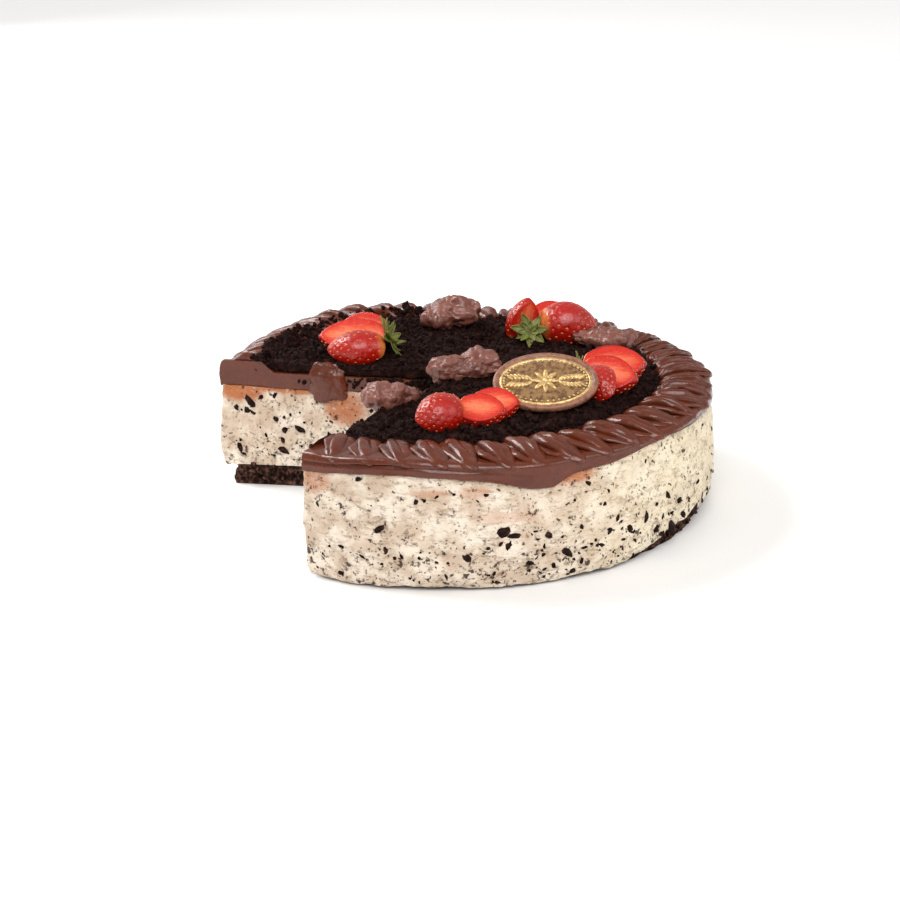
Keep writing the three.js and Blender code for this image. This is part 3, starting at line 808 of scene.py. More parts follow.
bitPlan = {
    "seed": 5,
    "kinds": 6,
    "sides": 7,
    "side": {"count": 760, "least": 0.3, "most": 2.2},
    "cut": {"count": 230, "least": 0.5, "most": 2.6},
    "largeSunk": 0.12,  # how deep the larger bits lie, as a share of their size, and the others below
    "sunk": 0.24,
    "crowd": (1, 305, 32),  # most of the bits are on the right
    "large": [  # azimuth, height, size of the larger bits in the side
        (278, 27, 4.6), (280.5, 25.5, 3.2), (279, 21, 2.6), (270.5, 17, 3.4), (287.5, 24, 2.5),
        (291.5, 14.5, 2.8), (283.5, 12, 2.3), (299.5, 14.5, 2), (309.5, 25, 2.5), (307, 18.5, 2.8),
        (319, 27, 2.6), (320.5, 11, 4), (326, 13, 3.2), (331, 11.5, 3.6), (336, 15, 2.8), (341, 13, 3.2),
        (315, 13, 2.5), (312, 21, 2), (324, 21, 2.4), (333, 24, 1.8), (302, 22, 1.8), (295, 9, 2.2),
        (276, 9, 2), (248, 50, 1.7), (260.5, 42, 1.7), (252.5, 28.5, 2.3), (248.5, 15.5, 1.8),
    ],
    "largeInCut": [  # distance from the axis, height, size of the larger bits in the rear cut
        (105.8, 43, 3.4), (108, 39, 2.2), (81, 30, 3.2), (89.2, 29.5, 2.4), (113, 18.5, 3.0),
        (90.8, 18.6, 3.0), (93.3, 34.7, 2.0), (76, 21, 2.2), (66, 27, 1.9), (99, 26, 1.6),
    ],
}


def bitsOn(plan, seed, wanted, power):
    count, least, most = plan["count"], plan["least"], plan["most"]
    points, normals, chance = scatterOn(creamMesh, count, seed, wanted)
    size = least + (most - least) * chance.random(count) ** power(points)
    sizes = size[:, None] * chance.uniform([0.8, 0.6, 0.35], [1.3, 1.0, 0.6], (count, 3))
    spin = chance.uniform(0, 2 * np.pi, count)
    tilted = normals + 0.35 * chance.normal(size=(count, 3))
    return points - normals * (size * bitPlan["sunk"])[:, None], sizes, turnsFor(tilted, spin)


def largeBits():
    places = [along(azimuth, creamRadius(azimuth, z), z) for azimuth, z, _ in bitPlan["large"]]
    faces = [along(azimuth, 1, 0) for azimuth, *_ in bitPlan["large"]]
    places += [along(cake["sliceFrom"], r, z) for r, z, _ in bitPlan["largeInCut"]]
    faces += [-intoCake[0]] * len(bitPlan["largeInCut"])
    size = np.array([size for *_, size in bitPlan["large"] + bitPlan["largeInCut"]])
    chance = np.random.default_rng(bitPlan["seed"])
    sizes = size[:, None] * chance.uniform([0.9, 0.6, 0.4], [1.3, 0.9, 0.6], (len(size), 3))
    points = np.array(places) - np.array(faces) * (size * bitPlan["largeSunk"])[:, None]
    return points, sizes, turnsFor(np.array(faces), chance.uniform(0, 2 * np.pi, len(size)))


def sideShare(points, normals):  # more bits low down and towards the right
    low = 1 - smoothstep(points[:, 2], 12, 36)
    right = swell(azimuthOf(points), bitPlan["crowd"])
    inside = (points[:, 2] > 3) & (points[:, 2] < 54) & (np.maximum(*cutDistance(points)) > 2.5)
    outside = (lengthOf(points) > 117) & (np.abs(normals[:, 2]) < 0.6)
    return np.where(inside & outside, 0.35 + 2.2 * low * right + 0.5 * low, 0)


def cutShare(points, normals):
    r = lengthOf(points)
    inside = (points[:, 2] > 12.5) & (points[:, 2] < 49) & (r > 3) & (r < 116)
    return np.where(nearCut(points, 1.2) & inside & (np.abs(normals[:, 2]) < 0.6), 1.0, 0)


def allBits():
    seed = bitPlan["seed"]
    side = bitsOn(bitPlan["side"], seed, sideShare, lambda p: 1.8 + 1.4 * smoothstep(p[:, 2], 14, 34))
    cut = bitsOn(bitPlan["cut"], seed + 1, cutShare, lambda p: 2.0)
    points, sizes, turns = (np.concatenate(column) for column in zip(side, cut, largeBits()))
    shapes = [brokenShape(60 + n, bitPlan["sides"]) for n in range(bitPlan["kinds"])]
    return placed(shapes, points, sizes, turns, np.arange(len(points)) % len(shapes), bitPaint)


addPiece("cookieBits", allBits(), bitPaint, "crust")
print("cookie bits set in the cream")


# Ganache layer

ganachePlan = {
    "columns": 560,
    "skirt": 0.9,  # thickness over the cream's side
    "edge": 2.6,  # rounding of the upper edge
    "roll": 5.6,  # at each cut the piping and the layer are one block
    "rollAt": [(1, cake["sliceFrom"], 5), (0.2, cake["sliceTo"], 5)],
    "crease": (1.6, 252, 22),
}


def skirtInner(azimuth):
    low = cake["creamTop"] + creamRise(azimuth, cake["radius"]) - dripDepth(azimuth)
    widest = np.maximum(creamRadius(azimuth, cake["creamTop"]), creamRadius(azimuth, low))
    return widest + cake["coatGap"]


def inset(inwards):
    return lambda azimuth: skirtInner(azimuth) - inwards


def ganacheLower(azimuth, r):
    under = cake["creamTop"] + creamRise(azimuth, np.minimum(r, cake["radius"]))
    lip = 0.5 * smoothstep(r, skirtInner(azimuth) + 0.45, skirtInner(azimuth) + ganachePlan["skirt"])
    return np.where(r > skirtInner(azimuth) + 0.005, under - dripDepth(azimuth) + lip, under)


def rollHeight(azimuth, r):
    near = swell(azimuth, *ganachePlan["rollAt"])
    return ganachePlan["roll"] * near * smoothstep(r, 93, 99) * (1 - smoothstep(r, 119, 124))


def ganacheUpper(azimuth, r):
    start = skirtInner(azimuth) + ganachePlan["skirt"] - ganachePlan["edge"]
    t = np.clip((r - start) / ganachePlan["edge"], 0, 1)
    fall = ganachePlan["edge"] * (1 - np.sqrt(1 - t**2 * 0.96))
    level = cake["slabTop"] + topRise(azimuth, np.minimum(r, cake["radius"]))
    return level + rollHeight(azimuth, r) - fall


def ganacheRim(azimuth, share):
    wave = 0.45 * grained(along(azimuth, cake["radius"], share * 7), 11, 5)
    wave = wave - swell(azimuth, ganachePlan["crease"]) * np.exp(-(((share - 0.66) / 0.1) ** 2))
    return skirtInner(azimuth) + ganachePlan["skirt"] + wave * np.sin(np.pi * share)


insets = [2.4, 1.6, 1.0, 0.5, 0.2, 0.0, -0.02, -0.4, -0.65, -0.8]
ganacheRadii = [*np.arange(0, 117, 3.0), *map(inset, insets)]
ganacheMesh = sectorSolid(
    "ganache", ganacheRadii, np.linspace(0, 1, 17), ganachePlan["columns"], ganacheRim,
    ganacheLower, ganacheUpper, [10, 20, 27, 31, 35, *range(39, 49)], [10, 27, 35, 39, 44, 45, 46, 48],
)
crisp(ganacheMesh)
roughen(ganacheMesh, lambda p: 0.3 * rough(p, 9, 2, 5) * smoothstep(lengthOf(p), 90, 100))
addPiece("ganacheLayer", ganacheMesh, ganachePaint, "ganache", "ganache_layer")


# Piped border

strokePlan = {
    "count": 48,
    "inner": 1.0,  # how far outside the crumbs' edge the strokes start
    "outer": 122.3,
    "halfWidth": 8.3,
    "rings": 28,
    "sides": 60,
    "kinds": 8,  # the second half of them have finer ribs
    "setback": 0.7,  # behind the face of each cut
    "fold": 0.4,  # depth of the grooves between a stroke's ribs
    "slant": (4, 7),  # degrees of azimuth from head to tail
    "lean": (12, 22),
    "high": (0.84, 1.04),
    "wide": (0.96, 1.06),
    "startSpread": (-2.2, 2.2),
    "endSpread": (-1.2, 0.4),
    "finer": (1, 10, 55),  # where most strokes have finer ribs
    "fuller": [(-0.42, cake["sliceTo"], 24), (-0.15, 258, 26), (0.28, 117, 20)],
}


def strokeShape(kind):  # one piped stroke along +X, from its thick head to its tail, 1 mm long and wide
    rings, sides = strokePlan["rings"], strokePlan["sides"]
    t, angle = easedShares(rings)[:, None], ringAngles(sides)[None, :]
    full = np.sin(np.pi * (0.004 + 0.992 * t**0.85)) ** 0.5
    taper = 1.08 - 0.16 * t
    ribs = 3 if kind < strokePlan["kinds"] / 2 else 5
    ribAngle = ribs * (angle - between(kind + 30, -0.2, 0.5)) + between(kind + 35, -0.2, 0.9) * t
    deepest = strokePlan["fold"] * between(kind + 20, 0.6, 1.2)
    depth = deepest * np.sin(np.pi * np.clip(t * 1.15, 0.12, 1)) ** 0.5
    rib = 1.06 - depth * (1 - np.abs(np.cos(ribAngle)) ** 0.6)
    fold = 1 + 0.11 * rough(stacked(t * 3, np.cos(angle), np.sin(angle)), 0.8, 2, kind * 3.1)
    wide = 0.5 * full * taper * rib * fold * np.cos(angle)
    tall = full * (1.02 - 0.34 * t) * rib * fold * np.sin(angle)
    tall = np.where(tall < 0, tall * 0.45, tall)
    bend = between(kind + 40, -0.05, 0.09) * np.sin(np.pi * t)
    points = stacked(t - 0.5, wide + bend, tall).reshape(-1, 3)
    ends = [range(sides)[::-1], range((rings - 1) * sides, rings * sides)]
    return makeMesh("stroke", points, gridFaces(rings, sides) + ends)


def strokePlaces():
    k = np.arange(strokePlan["count"])
    azimuth = 360 * (k + between(k + 60, -0.1, 0.1)) / strokePlan["count"]
    shown = (azimuth < cake["sliceFrom"] + 5) | (azimuth > cake["sliceTo"] - 5)
    k, azimuth = k[shown], azimuth[shown]
    inner = bedEdge(azimuth) + strokePlan["inner"] + between(k + 120, *strokePlan["startSpread"])
    outer = strokePlan["outer"] + between(k + 180, *strokePlan["endSpread"])
    slant = between(k + 360, *strokePlan["slant"])
    fuller = 1 + swell(azimuth, *strokePlan["fuller"])
    height = (cake["pipingTop"] - cake["slabTop"]) * between(k + 300, *strokePlan["high"]) * fuller
    start = along(azimuth - slant / 2, inner, cake["slabTop"] + topRise(azimuth, inner))
    end = along(azimuth + slant / 2, outer, cake["slabTop"] + topRise(azimuth, outer) - 2.3)
    lean = np.radians(between(k + 420, *strokePlan["lean"]))
    turns = []
    for a, b, roll in zip(start, end, lean):
        ahead = Vector(b - a).normalized()
        side = Vector((0, 0, 1)).cross(ahead).normalized()
        basis = Matrix((ahead, side, ahead.cross(side))).transposed()
        turns.append(basis @ Matrix.Rotation(-roll, 3, "X"))
    length = np.linalg.norm(end - start, axis=1)
    width = 2 * strokePlan["halfWidth"] * between(k + 240, *strokePlan["wide"])
    half = strokePlan["kinds"] // 2
    finer = swell(azimuth, strokePlan["finer"]) > between(k + 480, 0.2, 0.8)
    return (start + end) / 2, stacked(length, width, height), eulers(turns), k % half + half * finer


strokeShapes = [strokeShape(n) for n in range(strokePlan["kinds"])]
borderMesh = placed(strokeShapes, *strokePlaces(), ganachePaint)
roughen(borderMesh, lambda points: 0.4 * rough(points, 4.0, 2, 3))
movePoints(borderMesh, trimmed(pointsOf(borderMesh), strokePlan["setback"]))
crisp(borderMesh)
addPiece("pipedBorder", borderMesh, ganachePaint, "ganache", "piped_border")


# Crumb topping

bedPlan = {
    "columns": 470,
    "setback": 1.8,
    "atCut": (4, 162, 14),  # where crumbs lie on the piping
    "atBack": (0.4, 110, 30),
}


def bedRim(azimuth, share):
    return bedEdge(azimuth) + 1.6 * around(azimuth, 9, 6) - 1.5 * share**2


def bedUpper(azimuth, r):
    p = along(azimuth, r, 0)
    return bedHeight(p[..., 0], p[..., 1])


def bedLower(azimuth, r):
    return cake["slabTop"] + topRise(azimuth, r) + cake["gap"]


def towardsRim(share):
    return lambda azimuth: 86 + (bedEdge(azimuth) - 3.8 - 86) * share


bedRadii = [*np.arange(0, 87, 1.0), *map(towardsRim, (0.2, 0.4, 0.6, 0.8, 1.0))]
bedMesh = sectorSolid(
    "bed", bedRadii, np.linspace(0, 1, 5), bedPlan["columns"], bedRim,
    bedLower, bedUpper, [*range(6, 92)], [20, 60, 91],
)


def bedRelief(points):  # on the top only
    upward = smoothstep(normalsOf(bedMesh)[:, 2], 0, 0.5)
    return upward * (0.7 * rough(points, 3.0, 2, 1) + 0.5 * rough(points, 1.2, 1, 6))


def bedSetback(points):  # the crumbs end a little behind the cuts, unevenly
    return bedPlan["setback"] + 1.3 * noise(lengthOf(points) / 6, 3, 5)


roughen(bedMesh, bedRelief)
movePoints(bedMesh, trimmed(pointsOf(bedMesh), bedSetback(pointsOf(bedMesh))))
addPiece("crumbBed", bedMesh, crumbPaint, "crumbs", "crumb_topping")


def surfaceTree(nodes):  # one search tree over several CAD nodes
    whole = bmesh.new()
    for node in nodes:
        whole.from_mesh(frame["nodes"][node].data)
    tree = BVHTree.FromBMesh(whole)
    whole.free()
    return tree


toppings = ("chunk", "strawberry", "medallion")
toppingTree = surfaceTree(node for node in frame["nodes"] if node.startswith(toppings))


def clearOfToppings(points, sizes):
    keep = []
    for point, size in zip(points, sizes):
        near = toppingTree.find_nearest(Vector(point) * mm)
        offset = Vector(point) * mm - near[0]
        keep.append(offset.length > size * 0.8 * mm and offset.dot(near[1]) > -0.2 * mm)
    return np.array(keep)


crumbForm = {"kinds": 8, "crag": 0.35, "raised": 0.3, "lowest": 1.8}  # all but kinds in shares of size


def crumbsOn(mesh, count, seed, wanted, least, most, power, sides):
    points, normals, chance = scatterOn(mesh, count, seed, wanted)
    size = least + (most - least) * chance.random(count) ** power
    keep = clearOfToppings(points, size)
    points, normals, size = points[keep], normals[keep], size[keep]
    sizes = size[:, None] * chance.uniform(0.7, 1.2, (len(size), 3))
    turns = chance.uniform(-np.pi, np.pi, (len(size), 3))
    shapes = [brokenShape(80 + seed + n, sides, crumbForm["crag"]) for n in range(crumbForm["kinds"])]
    points = points + normals * (size * crumbForm["raised"])[:, None]
    points[:, 2] = np.maximum(points[:, 2], crumbForm["lowest"] * size)  # none reaches below the foot
    return placed(shapes, points, sizes, turns, np.arange(len(size)) % len(shapes), crumbPaint)


def overBed(points, normals):
    return 1.0 * (normals[:, 2] > 0.2)


def lumpsOverBed(points, normals):  # the larger crumbs keep back from the cuts
    return overBed(points, normals) * smoothstep(np.maximum(*cutDistance(points)), 2, 7)


def overBorder(points, normals):  # a few crumbs lie on the piping, most of them by the rear cut
    r, azimuth = lengthOf(points), azimuthOf(points)
    atCut = swell(azimuth, bedPlan["atCut"]) * (1 - smoothstep(r, 101, 106))
    atBack = swell(azimuth, bedPlan["atBack"]) * (1 - smoothstep(r, 96, 103))
    crowd = 0.1 * (1 - smoothstep(r, 94, 99)) + atCut + atBack
    return np.where((normals[:, 2] > 0.3) & (r < 112), crowd, 0)


def overCut(points, normals):  # the knife dragged crumbs down the ganache towards the middle
    r = lengthOf(points)
    upright = (np.abs(normals[:, 2]) < 0.5) & (r > 1)
    crowd = (1 - smoothstep(r, 20, 88)) * smoothstep(points[:, 2], 51.5, 57)
    return np.where(nearCut(points, 0.5) & upright, crowd, 0)


def overCrust(points, normals):
    r = lengthOf(points)
    atCorner = nearCut(points, 6) & (r > 111)
    upright = (np.abs(normals[:, 2]) < 0.6) & (points[:, 2] > 1.2) & (r > 2)
    return np.where(upright & ~atCorner, np.where(nearCut(points, 2), 1.0, 0.25), 0)


crumbPlan = [  # piece, what it lies on, how many, seed, where, least and most size, power, sides
    ("crustCrumbs", crustMesh, 900, 25, overCrust, 0.5, 2.2, 1.5, 5),
    ("crumbGrains", bedMesh, 6400, 21, overBed, 0.5, 1.5, 1.6, 5),
    ("crumbLumps", bedMesh, 760, 22, lumpsOverBed, 1.4, 3.2, 2.2, 7),
    ("crumbsOnPiping", borderMesh, 1500, 23, overBorder, 0.5, 2.2, 1.8, 5),
    ("crumbsOnCut", ganacheMesh, 420, 24, overCut, 0.5, 2.0, 1.6, 5),
]
for name, ground, *rest in crumbPlan:
    paint, slot = (crustPaint, "crust") if ground == crustMesh else (crumbPaint, "crumbs")
    addPiece(name, crumbsOn(ground, *rest), paint, slot)
print("crumbs scattered")


# Chocolate chunks

chunkForm = {"voxel": 0.55, "rounds": 8, "hills": 0.9, "knobs": 0.45, "wider": 0.35, "flat": 0.55}
chunkPlan = {  # piece, size and height of its knobs, seed
    "chunk_centre": ("chunkCentre", 8.5, 3.0, 1.0),
    "chunk_back": ("chunkBack", 8.5, 3.2, 4.0),
    "chunk_right": ("chunkRight", 8.0, 2.6, 9.0),
    "chunk_cut_tip": ("chunkCutTip", 8.0, 3.2, 14.0),
    "chunk_cut_edge": ("draggedLump", 10.0, 2.6, 23.0),
}


def pressed(points):  # the knife pressed this lump flat on the cut and drew its foot wider
    cutLine = along(cake["sliceFrom"], 1, 0)
    beyond = np.maximum(-cutDistance(points)[0], 0)
    out = points @ cutLine
    foot = 1 - smoothstep(points[:, 2], points[:, 2].min(), points[:, 2].mean() + 3)
    wider = chunkForm["wider"] * foot * (out - out.mean())
    return points + chunkForm["flat"] * beyond[:, None] * intoCake[0] + wider[:, None] * cutLine


def nodeCopy(node):  # a merged copy of a CAD node's mesh
    merged = bmesh.new()
    merged.from_mesh(frame["nodes"][node].data)
    bmesh.ops.remove_doubles(merged, verts=merged.verts, dist=0.01 * mm)
    return settled(node, merged)


for node, (name, knob, rise, seed) in chunkPlan.items():
    chunkMesh = remeshed(nodeCopy(node), chunkForm["voxel"], chunkForm["rounds"])
    roughen(chunkMesh, lambda p: chunkForm["hills"] * rise * rough(p, knob, 3, seed))
    roughen(chunkMesh, lambda p: chunkForm["knobs"] * rise * (knobs(p, 0.6 * knob, 2, seed + 5) - 0.3))
    paint, slot = chunkPaint, "chunk"
    if node == "chunk_cut_edge":
        movePoints(chunkMesh, pressed(pointsOf(chunkMesh)))
        paint, slot = ganachePaint, "ganache"
    addPiece(name, chunkMesh, paint, slot, node)
print("chunks made")


# Strawberries

berryForm = {
    "length": 31.0, "breadth": 25.0, "rings": 44, "sides": 72, "voxel": 0.42, "sunk": 1.4,
    "seeds": 150, "seedSize": (0.75, 0.42, 0.25), "seedSunk": 0.22, "dimple": 0.4,
}
sliceKeys = ["at", "tip", "lean", "dip", "cut", "size", "girth"]  # tip is an azimuth, cut its two faces
berryPlan = {
    "strawberry_left": [
        ((-36, 29), 184, 42, 2, (3.5, 12.5), 1, 0.82),
        ((-36, 35.5), 174, 54, 0, (-3, 3), 1.1, 0.78),
        ((-37, 42), 160, 40, -2, (-11, -3), 0.84, 0.9),
    ],
    "strawberry_back": [
        ((30, 54), 10, 24, -74, (-3.5, 3.5), 0.74, 1),
        ((38, 57), 30, -52, -3, (-3.5, 3.5), 0.84, 1),
        ((41, 52), 8, -34, 3, (-12.5, -2.5), 0.98, 1),
    ],
    "strawberry_right": [
        ((58, -25), 4, -52, -4, (-4, 4), 0.98, 0.92),
        ((57, -30), -24, -50, 2, (-3.5, 3.5), 0.9, 0.9),
        ((60, -35), -64, -42, 4, (-12, -2.5), 0.82, 1),
    ],
    "strawberry_front": [
        ((0, -70), 212, 40, 4, (2.5, 12.5), 0.82, 1),
        ((-1, -72), 350, -62, 2, (-4, 3), 0.72, 1),
        ((5.5, -68), 356, -58, -2, (-3.5, 3.5), 0.7, 1),
    ],
}


def berryHalf(t):
    t = np.clip(t, 0, 1)
    full = np.maximum(np.sin(np.pi * np.minimum(1, 0.2 + 0.8 * t) ** 1.15), 0) ** 0.72
    half = 0.5 * berryForm["breadth"] * full
    shoulder = np.sqrt(1 - 0.8 * np.clip((0.1 - t) / 0.1, 0, 1) ** 2)
    return np.maximum(half * shoulder, 0.01)


def berrySlice(plan):  # the slice in the berry's own place, stem end at the origin and tip along +X
    rings, sides = berryForm["rings"], berryForm["sides"]
    t, angle = easedShares(rings)[1:-1, None], ringAngles(sides)
    r = berryHalf(t) * (1 + 0.03 * np.cos(2 * angle + 1))
    grid = stacked(berryForm["length"] * t, r * np.cos(angle), r * np.sin(angle))
    points = [[0.6, 0, 0], *grid.reshape(-1, 3), [berryForm["length"], 0, 0]]
    tip = len(points) - 1
    caps = flipped(capFaces(1, sides, 0)) + capFaces(tip - sides, sides, tip)
    body = bmesh.new()
    body.from_mesh(makeMesh("berry", points, gridFaces(len(t), sides, 1) + caps))
    for y, way in zip(plan["cut"], (-1, 1)):
        whole = body.verts[:] + body.edges[:] + body.faces[:]
        plane = {"plane_co": (0, y * mm, 0), "plane_no": (0, way, 0)}
        bmesh.ops.bisect_plane(body, geom=whole, clear_outer=True, **plane)
        bmesh.ops.holes_fill(body, edges=[e for e in body.edges if e.is_boundary])
    bmesh.ops.recalc_face_normals(body, faces=body.faces)
    return remeshed(settled("berrySlice", body), berryForm["voxel"], 2)


def berrySeeds(plan):  # the seeds on a slice's skin, in the berry's own place
    n = np.arange(berryForm["seeds"])
    t = 0.06 + 0.9 * ((n + 0.5) / len(n)) ** 0.85
    angle = np.radians(n * 137.508)
    half = berryHalf(t)
    points = stacked(berryForm["length"] * t, half * np.cos(angle), half * np.sin(angle))
    slope = (berryHalf(t + 0.01) - berryHalf(t - 0.01)) / (0.02 * berryForm["length"])
    normals = stacked(-slope, np.cos(angle), np.sin(angle))
    normals /= np.linalg.norm(normals, axis=1)[:, None]
    low, high = plan["cut"]
    shown = (points[:, 1] > low + 0.8) & (points[:, 1] < high - 0.8)
    return points[shown], normals[shown]


def turned(axis, degrees):
    return Matrix.Rotation(math.radians(degrees), 4, axis)


def berryStand(plan, mesh):
    turn = turned("Z", plan["tip"]) @ turned("Y", plan["dip"]) @ turned("X", plan["lean"])
    turn = turn @ Matrix.Diagonal((plan["size"], *[plan["size"] * plan["girth"]] * 2, 1))
    lowest = (pointsOf(mesh) @ np.array(turn.to_3x3()).T)[:, 2].min()
    middle = along(plan["tip"], berryForm["length"] * 0.45, 0)
    x, y = plan["at"]
    z = float(bedHeight(x + middle[0], y + middle[1])) - berryForm["sunk"] - lowest
    return Matrix.Translation((x, y, z)) @ turn


berryLook = {
    "skin": (186, 24, 8),
    "skinDeep": (142, 12, 6),
    "flesh": (198, 38, 18),
    "heart": (236, 128, 88),
    "shoulder": (230, 138, 66),
    "depth": 0.25,
    "sockets": {
        "Specular IOR Level": 0.45, "Coat Weight": 0.25, "Coat Roughness": 0.1,
        "Subsurface Weight": 0.3, "Subsurface Radius": (1.0, 0.25, 0.15), "Subsurface Scale": 0.0025,
    },
}
seedLook = {"light": (232, 160, 96), "dark": (206, 96, 52), "depth": 0.1, "sockets": {}}


def painted(place, name, out):  # an attribute of the mesh, in the node tree of the place
    return wire("ShaderNodeAttribute", {}, out, place.id_data, attribute_name=name)


def berrySurface(place, look):
    local, share = painted(place, "berryPlace", "Vector"), painted(place, "berryShare", "Fac")
    skin = mixed(cloud(place, 8), look["skin"], look["skinDeep"])
    skin = mixed(ramp(partsOf(local)["X"], 0.16, 0.02, 0, 0.8), skin, look["shoulder"])
    # The cut face: pale at the heart, rays out to a red edge.
    rays = cloud(vectorCalc("MULTIPLY", local, (5.0, 26.0, 26.0)), 1 / mm, 3.0, 0.5)
    reach = plus(share, times(minus(rays, 0.5), 0.5))
    flesh = mixed(ramp(reach, 0.12, 0.78), look["heart"], look["flesh"])
    colour = mixed(ramp(share, 0.88, 0.96), flesh, skin)
    sheen = ramp(cloud(place, 3), 0.3, 0.7, 0.16, 0.36)
    return colour, sheen, plus(cloud(place, 1.4, 3), times(rays, 0.5))


def seedSurface(place, look):
    return mixed(cloud(place, 3), look["light"], look["dark"]), 0.4, cloud(place, 1.5, 3)


berryPaint = newFinish("berryFinish", berrySurface, berryLook)
seedPaint = newFinish("seedFinish", seedSurface, seedLook)


def moved(points, matrix):
    return points @ np.array(matrix.to_3x3()).T + np.array(matrix.translation)


def dimpled(mesh, spots):  # presses a dimple round each seed
    tree = KDTree(len(spots))
    for n, spot in enumerate(spots):
        tree.insert(spot, n)
    tree.balance()
    apart = np.array([tree.find(point)[2] for point in pointsOf(mesh)])
    roughen(mesh, lambda p: -berryForm["dimple"] * np.exp(-((apart / 0.9) ** 2)))


seeds = []  # point, size and turn of each
for berry, slices in berryPlan.items():
    side = berry.split("_")[1]
    for number, values in enumerate(slices, 1):
        plan = dict(zip(sliceKeys, values))
        mesh = berrySlice(plan)
        local = pointsOf(mesh)
        share = np.hypot(local[:, 1], local[:, 2]) / berryHalf(local[:, 0] / berryForm["length"])
        spots, spotNormals = berrySeeds(plan)
        dimpled(mesh, spots)
        stand = berryStand(plan, mesh)
        movePoints(mesh, moved(pointsOf(mesh), stand))
        setAttribute(mesh, "berryPlace", "FLOAT_VECTOR", local / berryForm["length"])
        setAttribute(mesh, "berryShare", "FLOAT", share)
        smooth(mesh)
        addPiece(f"{side}BerrySlice{number}", mesh, berryPaint, "strawberry", f"{berry}_{number}")
        turn = stand.to_3x3().normalized()
        size = np.array(berryForm["seedSize"]) * plan["size"]
        for spot, normal in zip(spots, spotNormals):
            across = Vector(normal).cross(Vector((1, 0, 0))).normalized()
            basis = Matrix((across.cross(Vector(normal)), across, Vector(normal))).transposed()
            seeds.append((moved(spot - berryForm["seedSunk"] * normal, stand), size, turn @ basis))
seedPoints, seedSizes, seedTurns = zip(*seeds)
seedMesh = placed([domeShape(1, 1, 1, 0.35, 1)], seedPoints, seedSizes, eulers(seedTurns),
                  np.zeros(len(seeds)), seedPaint, uneven=0.12, seed=4)
smooth(seedMesh)
addPiece("berrySeeds", seedMesh, seedPaint, "strawberry")
print("strawberries made")


# Green caps

calyxPlan = {  # stem's place, facing, tilt, leaves, their reach and seed
    "left": ((-34.8, 34, 70), 0, 62, 7, 12, 80),
    "back": ((36.3, 44.2, 69), 255, 60, 7, 9.5, 90),
    "right": ((56, -27, 70), 165, 72, 6, 8.5, 100),
}
leafForm = {
    "rows": 14, "columns": 9, "thick": 0.4,
    "long": (0.72, 1.1), "wide": (0.26, 0.36), "curl": (-0.05, 0.5), "astray": (-0.2, 0.2),
}
leafLook = {
    "light": (124, 122, 44), "dark": (66, 80, 24), "vein": (146, 148, 70), "depth": 0.2,
    "sockets": {
        "Subsurface Weight": 0.15, "Subsurface Radius": (0.4, 1.0, 0.2), "Subsurface Scale": 0.001,
    },
}


def leafSurface(place, look):
    vein = ramp(painted(place, "leafShare", "Fac"), 0.2, 0.0, 0, 0.6)
    colour = mixed(vein, mixed(cloud(place, 4), look["light"], look["dark"]), look["vein"])
    return colour, 0.45, cloud(place, 0.8, 3)


leafPaint = newFinish("leafFinish", leafSurface, leafLook)


def calyxMesh(place, facing, tilt, leaves, reach, seed):
    rows, columns = leafForm["rows"], leafForm["columns"]
    u = np.linspace(0, 1, rows)[:, None]
    v = np.linspace(-1, 1, columns)[None, :]
    points, faces, shares = [], [], []
    for leaf in range(leaves * 2):  # a second, smaller ring of leaves lies between the first
        inner = leaf >= leaves
        n = seed + leaf
        length = reach * between(n, *leafForm["long"]) * (0.7 if inner else 1)
        curl = between(n + 30, *leafForm["curl"]) + (0.25 if inner else 0)
        width = length * between(n + 45, *leafForm["wide"])
        step = leaf + between(n + 60, *leafForm["astray"]) + (0.5 if inner else 0)
        turn = math.radians(360 * step / leaves)
        across = width * np.sin(np.pi * np.clip(0.12 + 0.88 * u, 0, 1)) ** 0.8 * (1 - 0.35 * u) * v
        out = length * u + 0 * v
        wave = 0.35 * np.sin(u * 9 + n) * np.abs(v)
        trough = 0.2 * width * np.abs(v) ** 1.5
        rise = length * curl * u**2 + trough + wave + (0.5 if inner else 0.25)
        x = out * math.cos(turn) - across * math.sin(turn)
        y = out * math.sin(turn) + across * math.cos(turn)
        grid = gridFaces(rows, columns, len(points), closed=False)
        faces += [(a, d, c, b) for a, b, c, d in grid]
        points += list(stacked(x, y, rise).reshape(-1, 3))
        shares += list(np.broadcast_to(np.abs(v), (rows, columns)).ravel())
    stand = Matrix.Translation(place) @ turned("Z", facing) @ turned("Y", tilt)
    mesh = makeMesh("calyx", moved(np.array(points), stand), faces)
    setAttribute(mesh, "leafShare", "FLOAT", np.array(shares))
    thing = addObject("thickening", mesh)
    wall = thing.modifiers.new("wall", "SOLIDIFY")
    wall.thickness, wall.offset = leafForm["thick"] * mm, 0
    return evaluated(thing)


for side, values in calyxPlan.items():
    addPiece(f"{side}Calyx", calyxMesh(*values), leafPaint, "calyx", f"strawberry_{side}_calyx")
print("green caps made")


# Medallion

medallionPlan = {
    "place": (39, -56, 73), "long": 48, "short": 34, "thick": 3.2, "rim": 3, "tilt": 32, "turn": -4,
    "sides": 120, "beads": 46, "beadRing": 5.1, "petals": 8, "petalRing": 4.0,
    "sprayLeaves": 6, "sprayStart": 7.6, "sprayStep": 1.75, "sprayHalf": 1.7, "sprayBelly": 0.5,
    "sprayTurn": 0.75,
}
medallionLook = {
    "patches": (2.5, 5, 0.65), "border": (0.42, 0.62), "sheen": (1.5, 4), "roughness": (0.28, 0.5),
    "grain": (1.1, 4), "depth": 0.2,
}


def medallionFinish(name, light, dark, metal):
    look = {**medallionLook, "tones": [light, dark], "sockets": {"Metallic": metal}}
    return newFinish(name, mottledSurface, look)


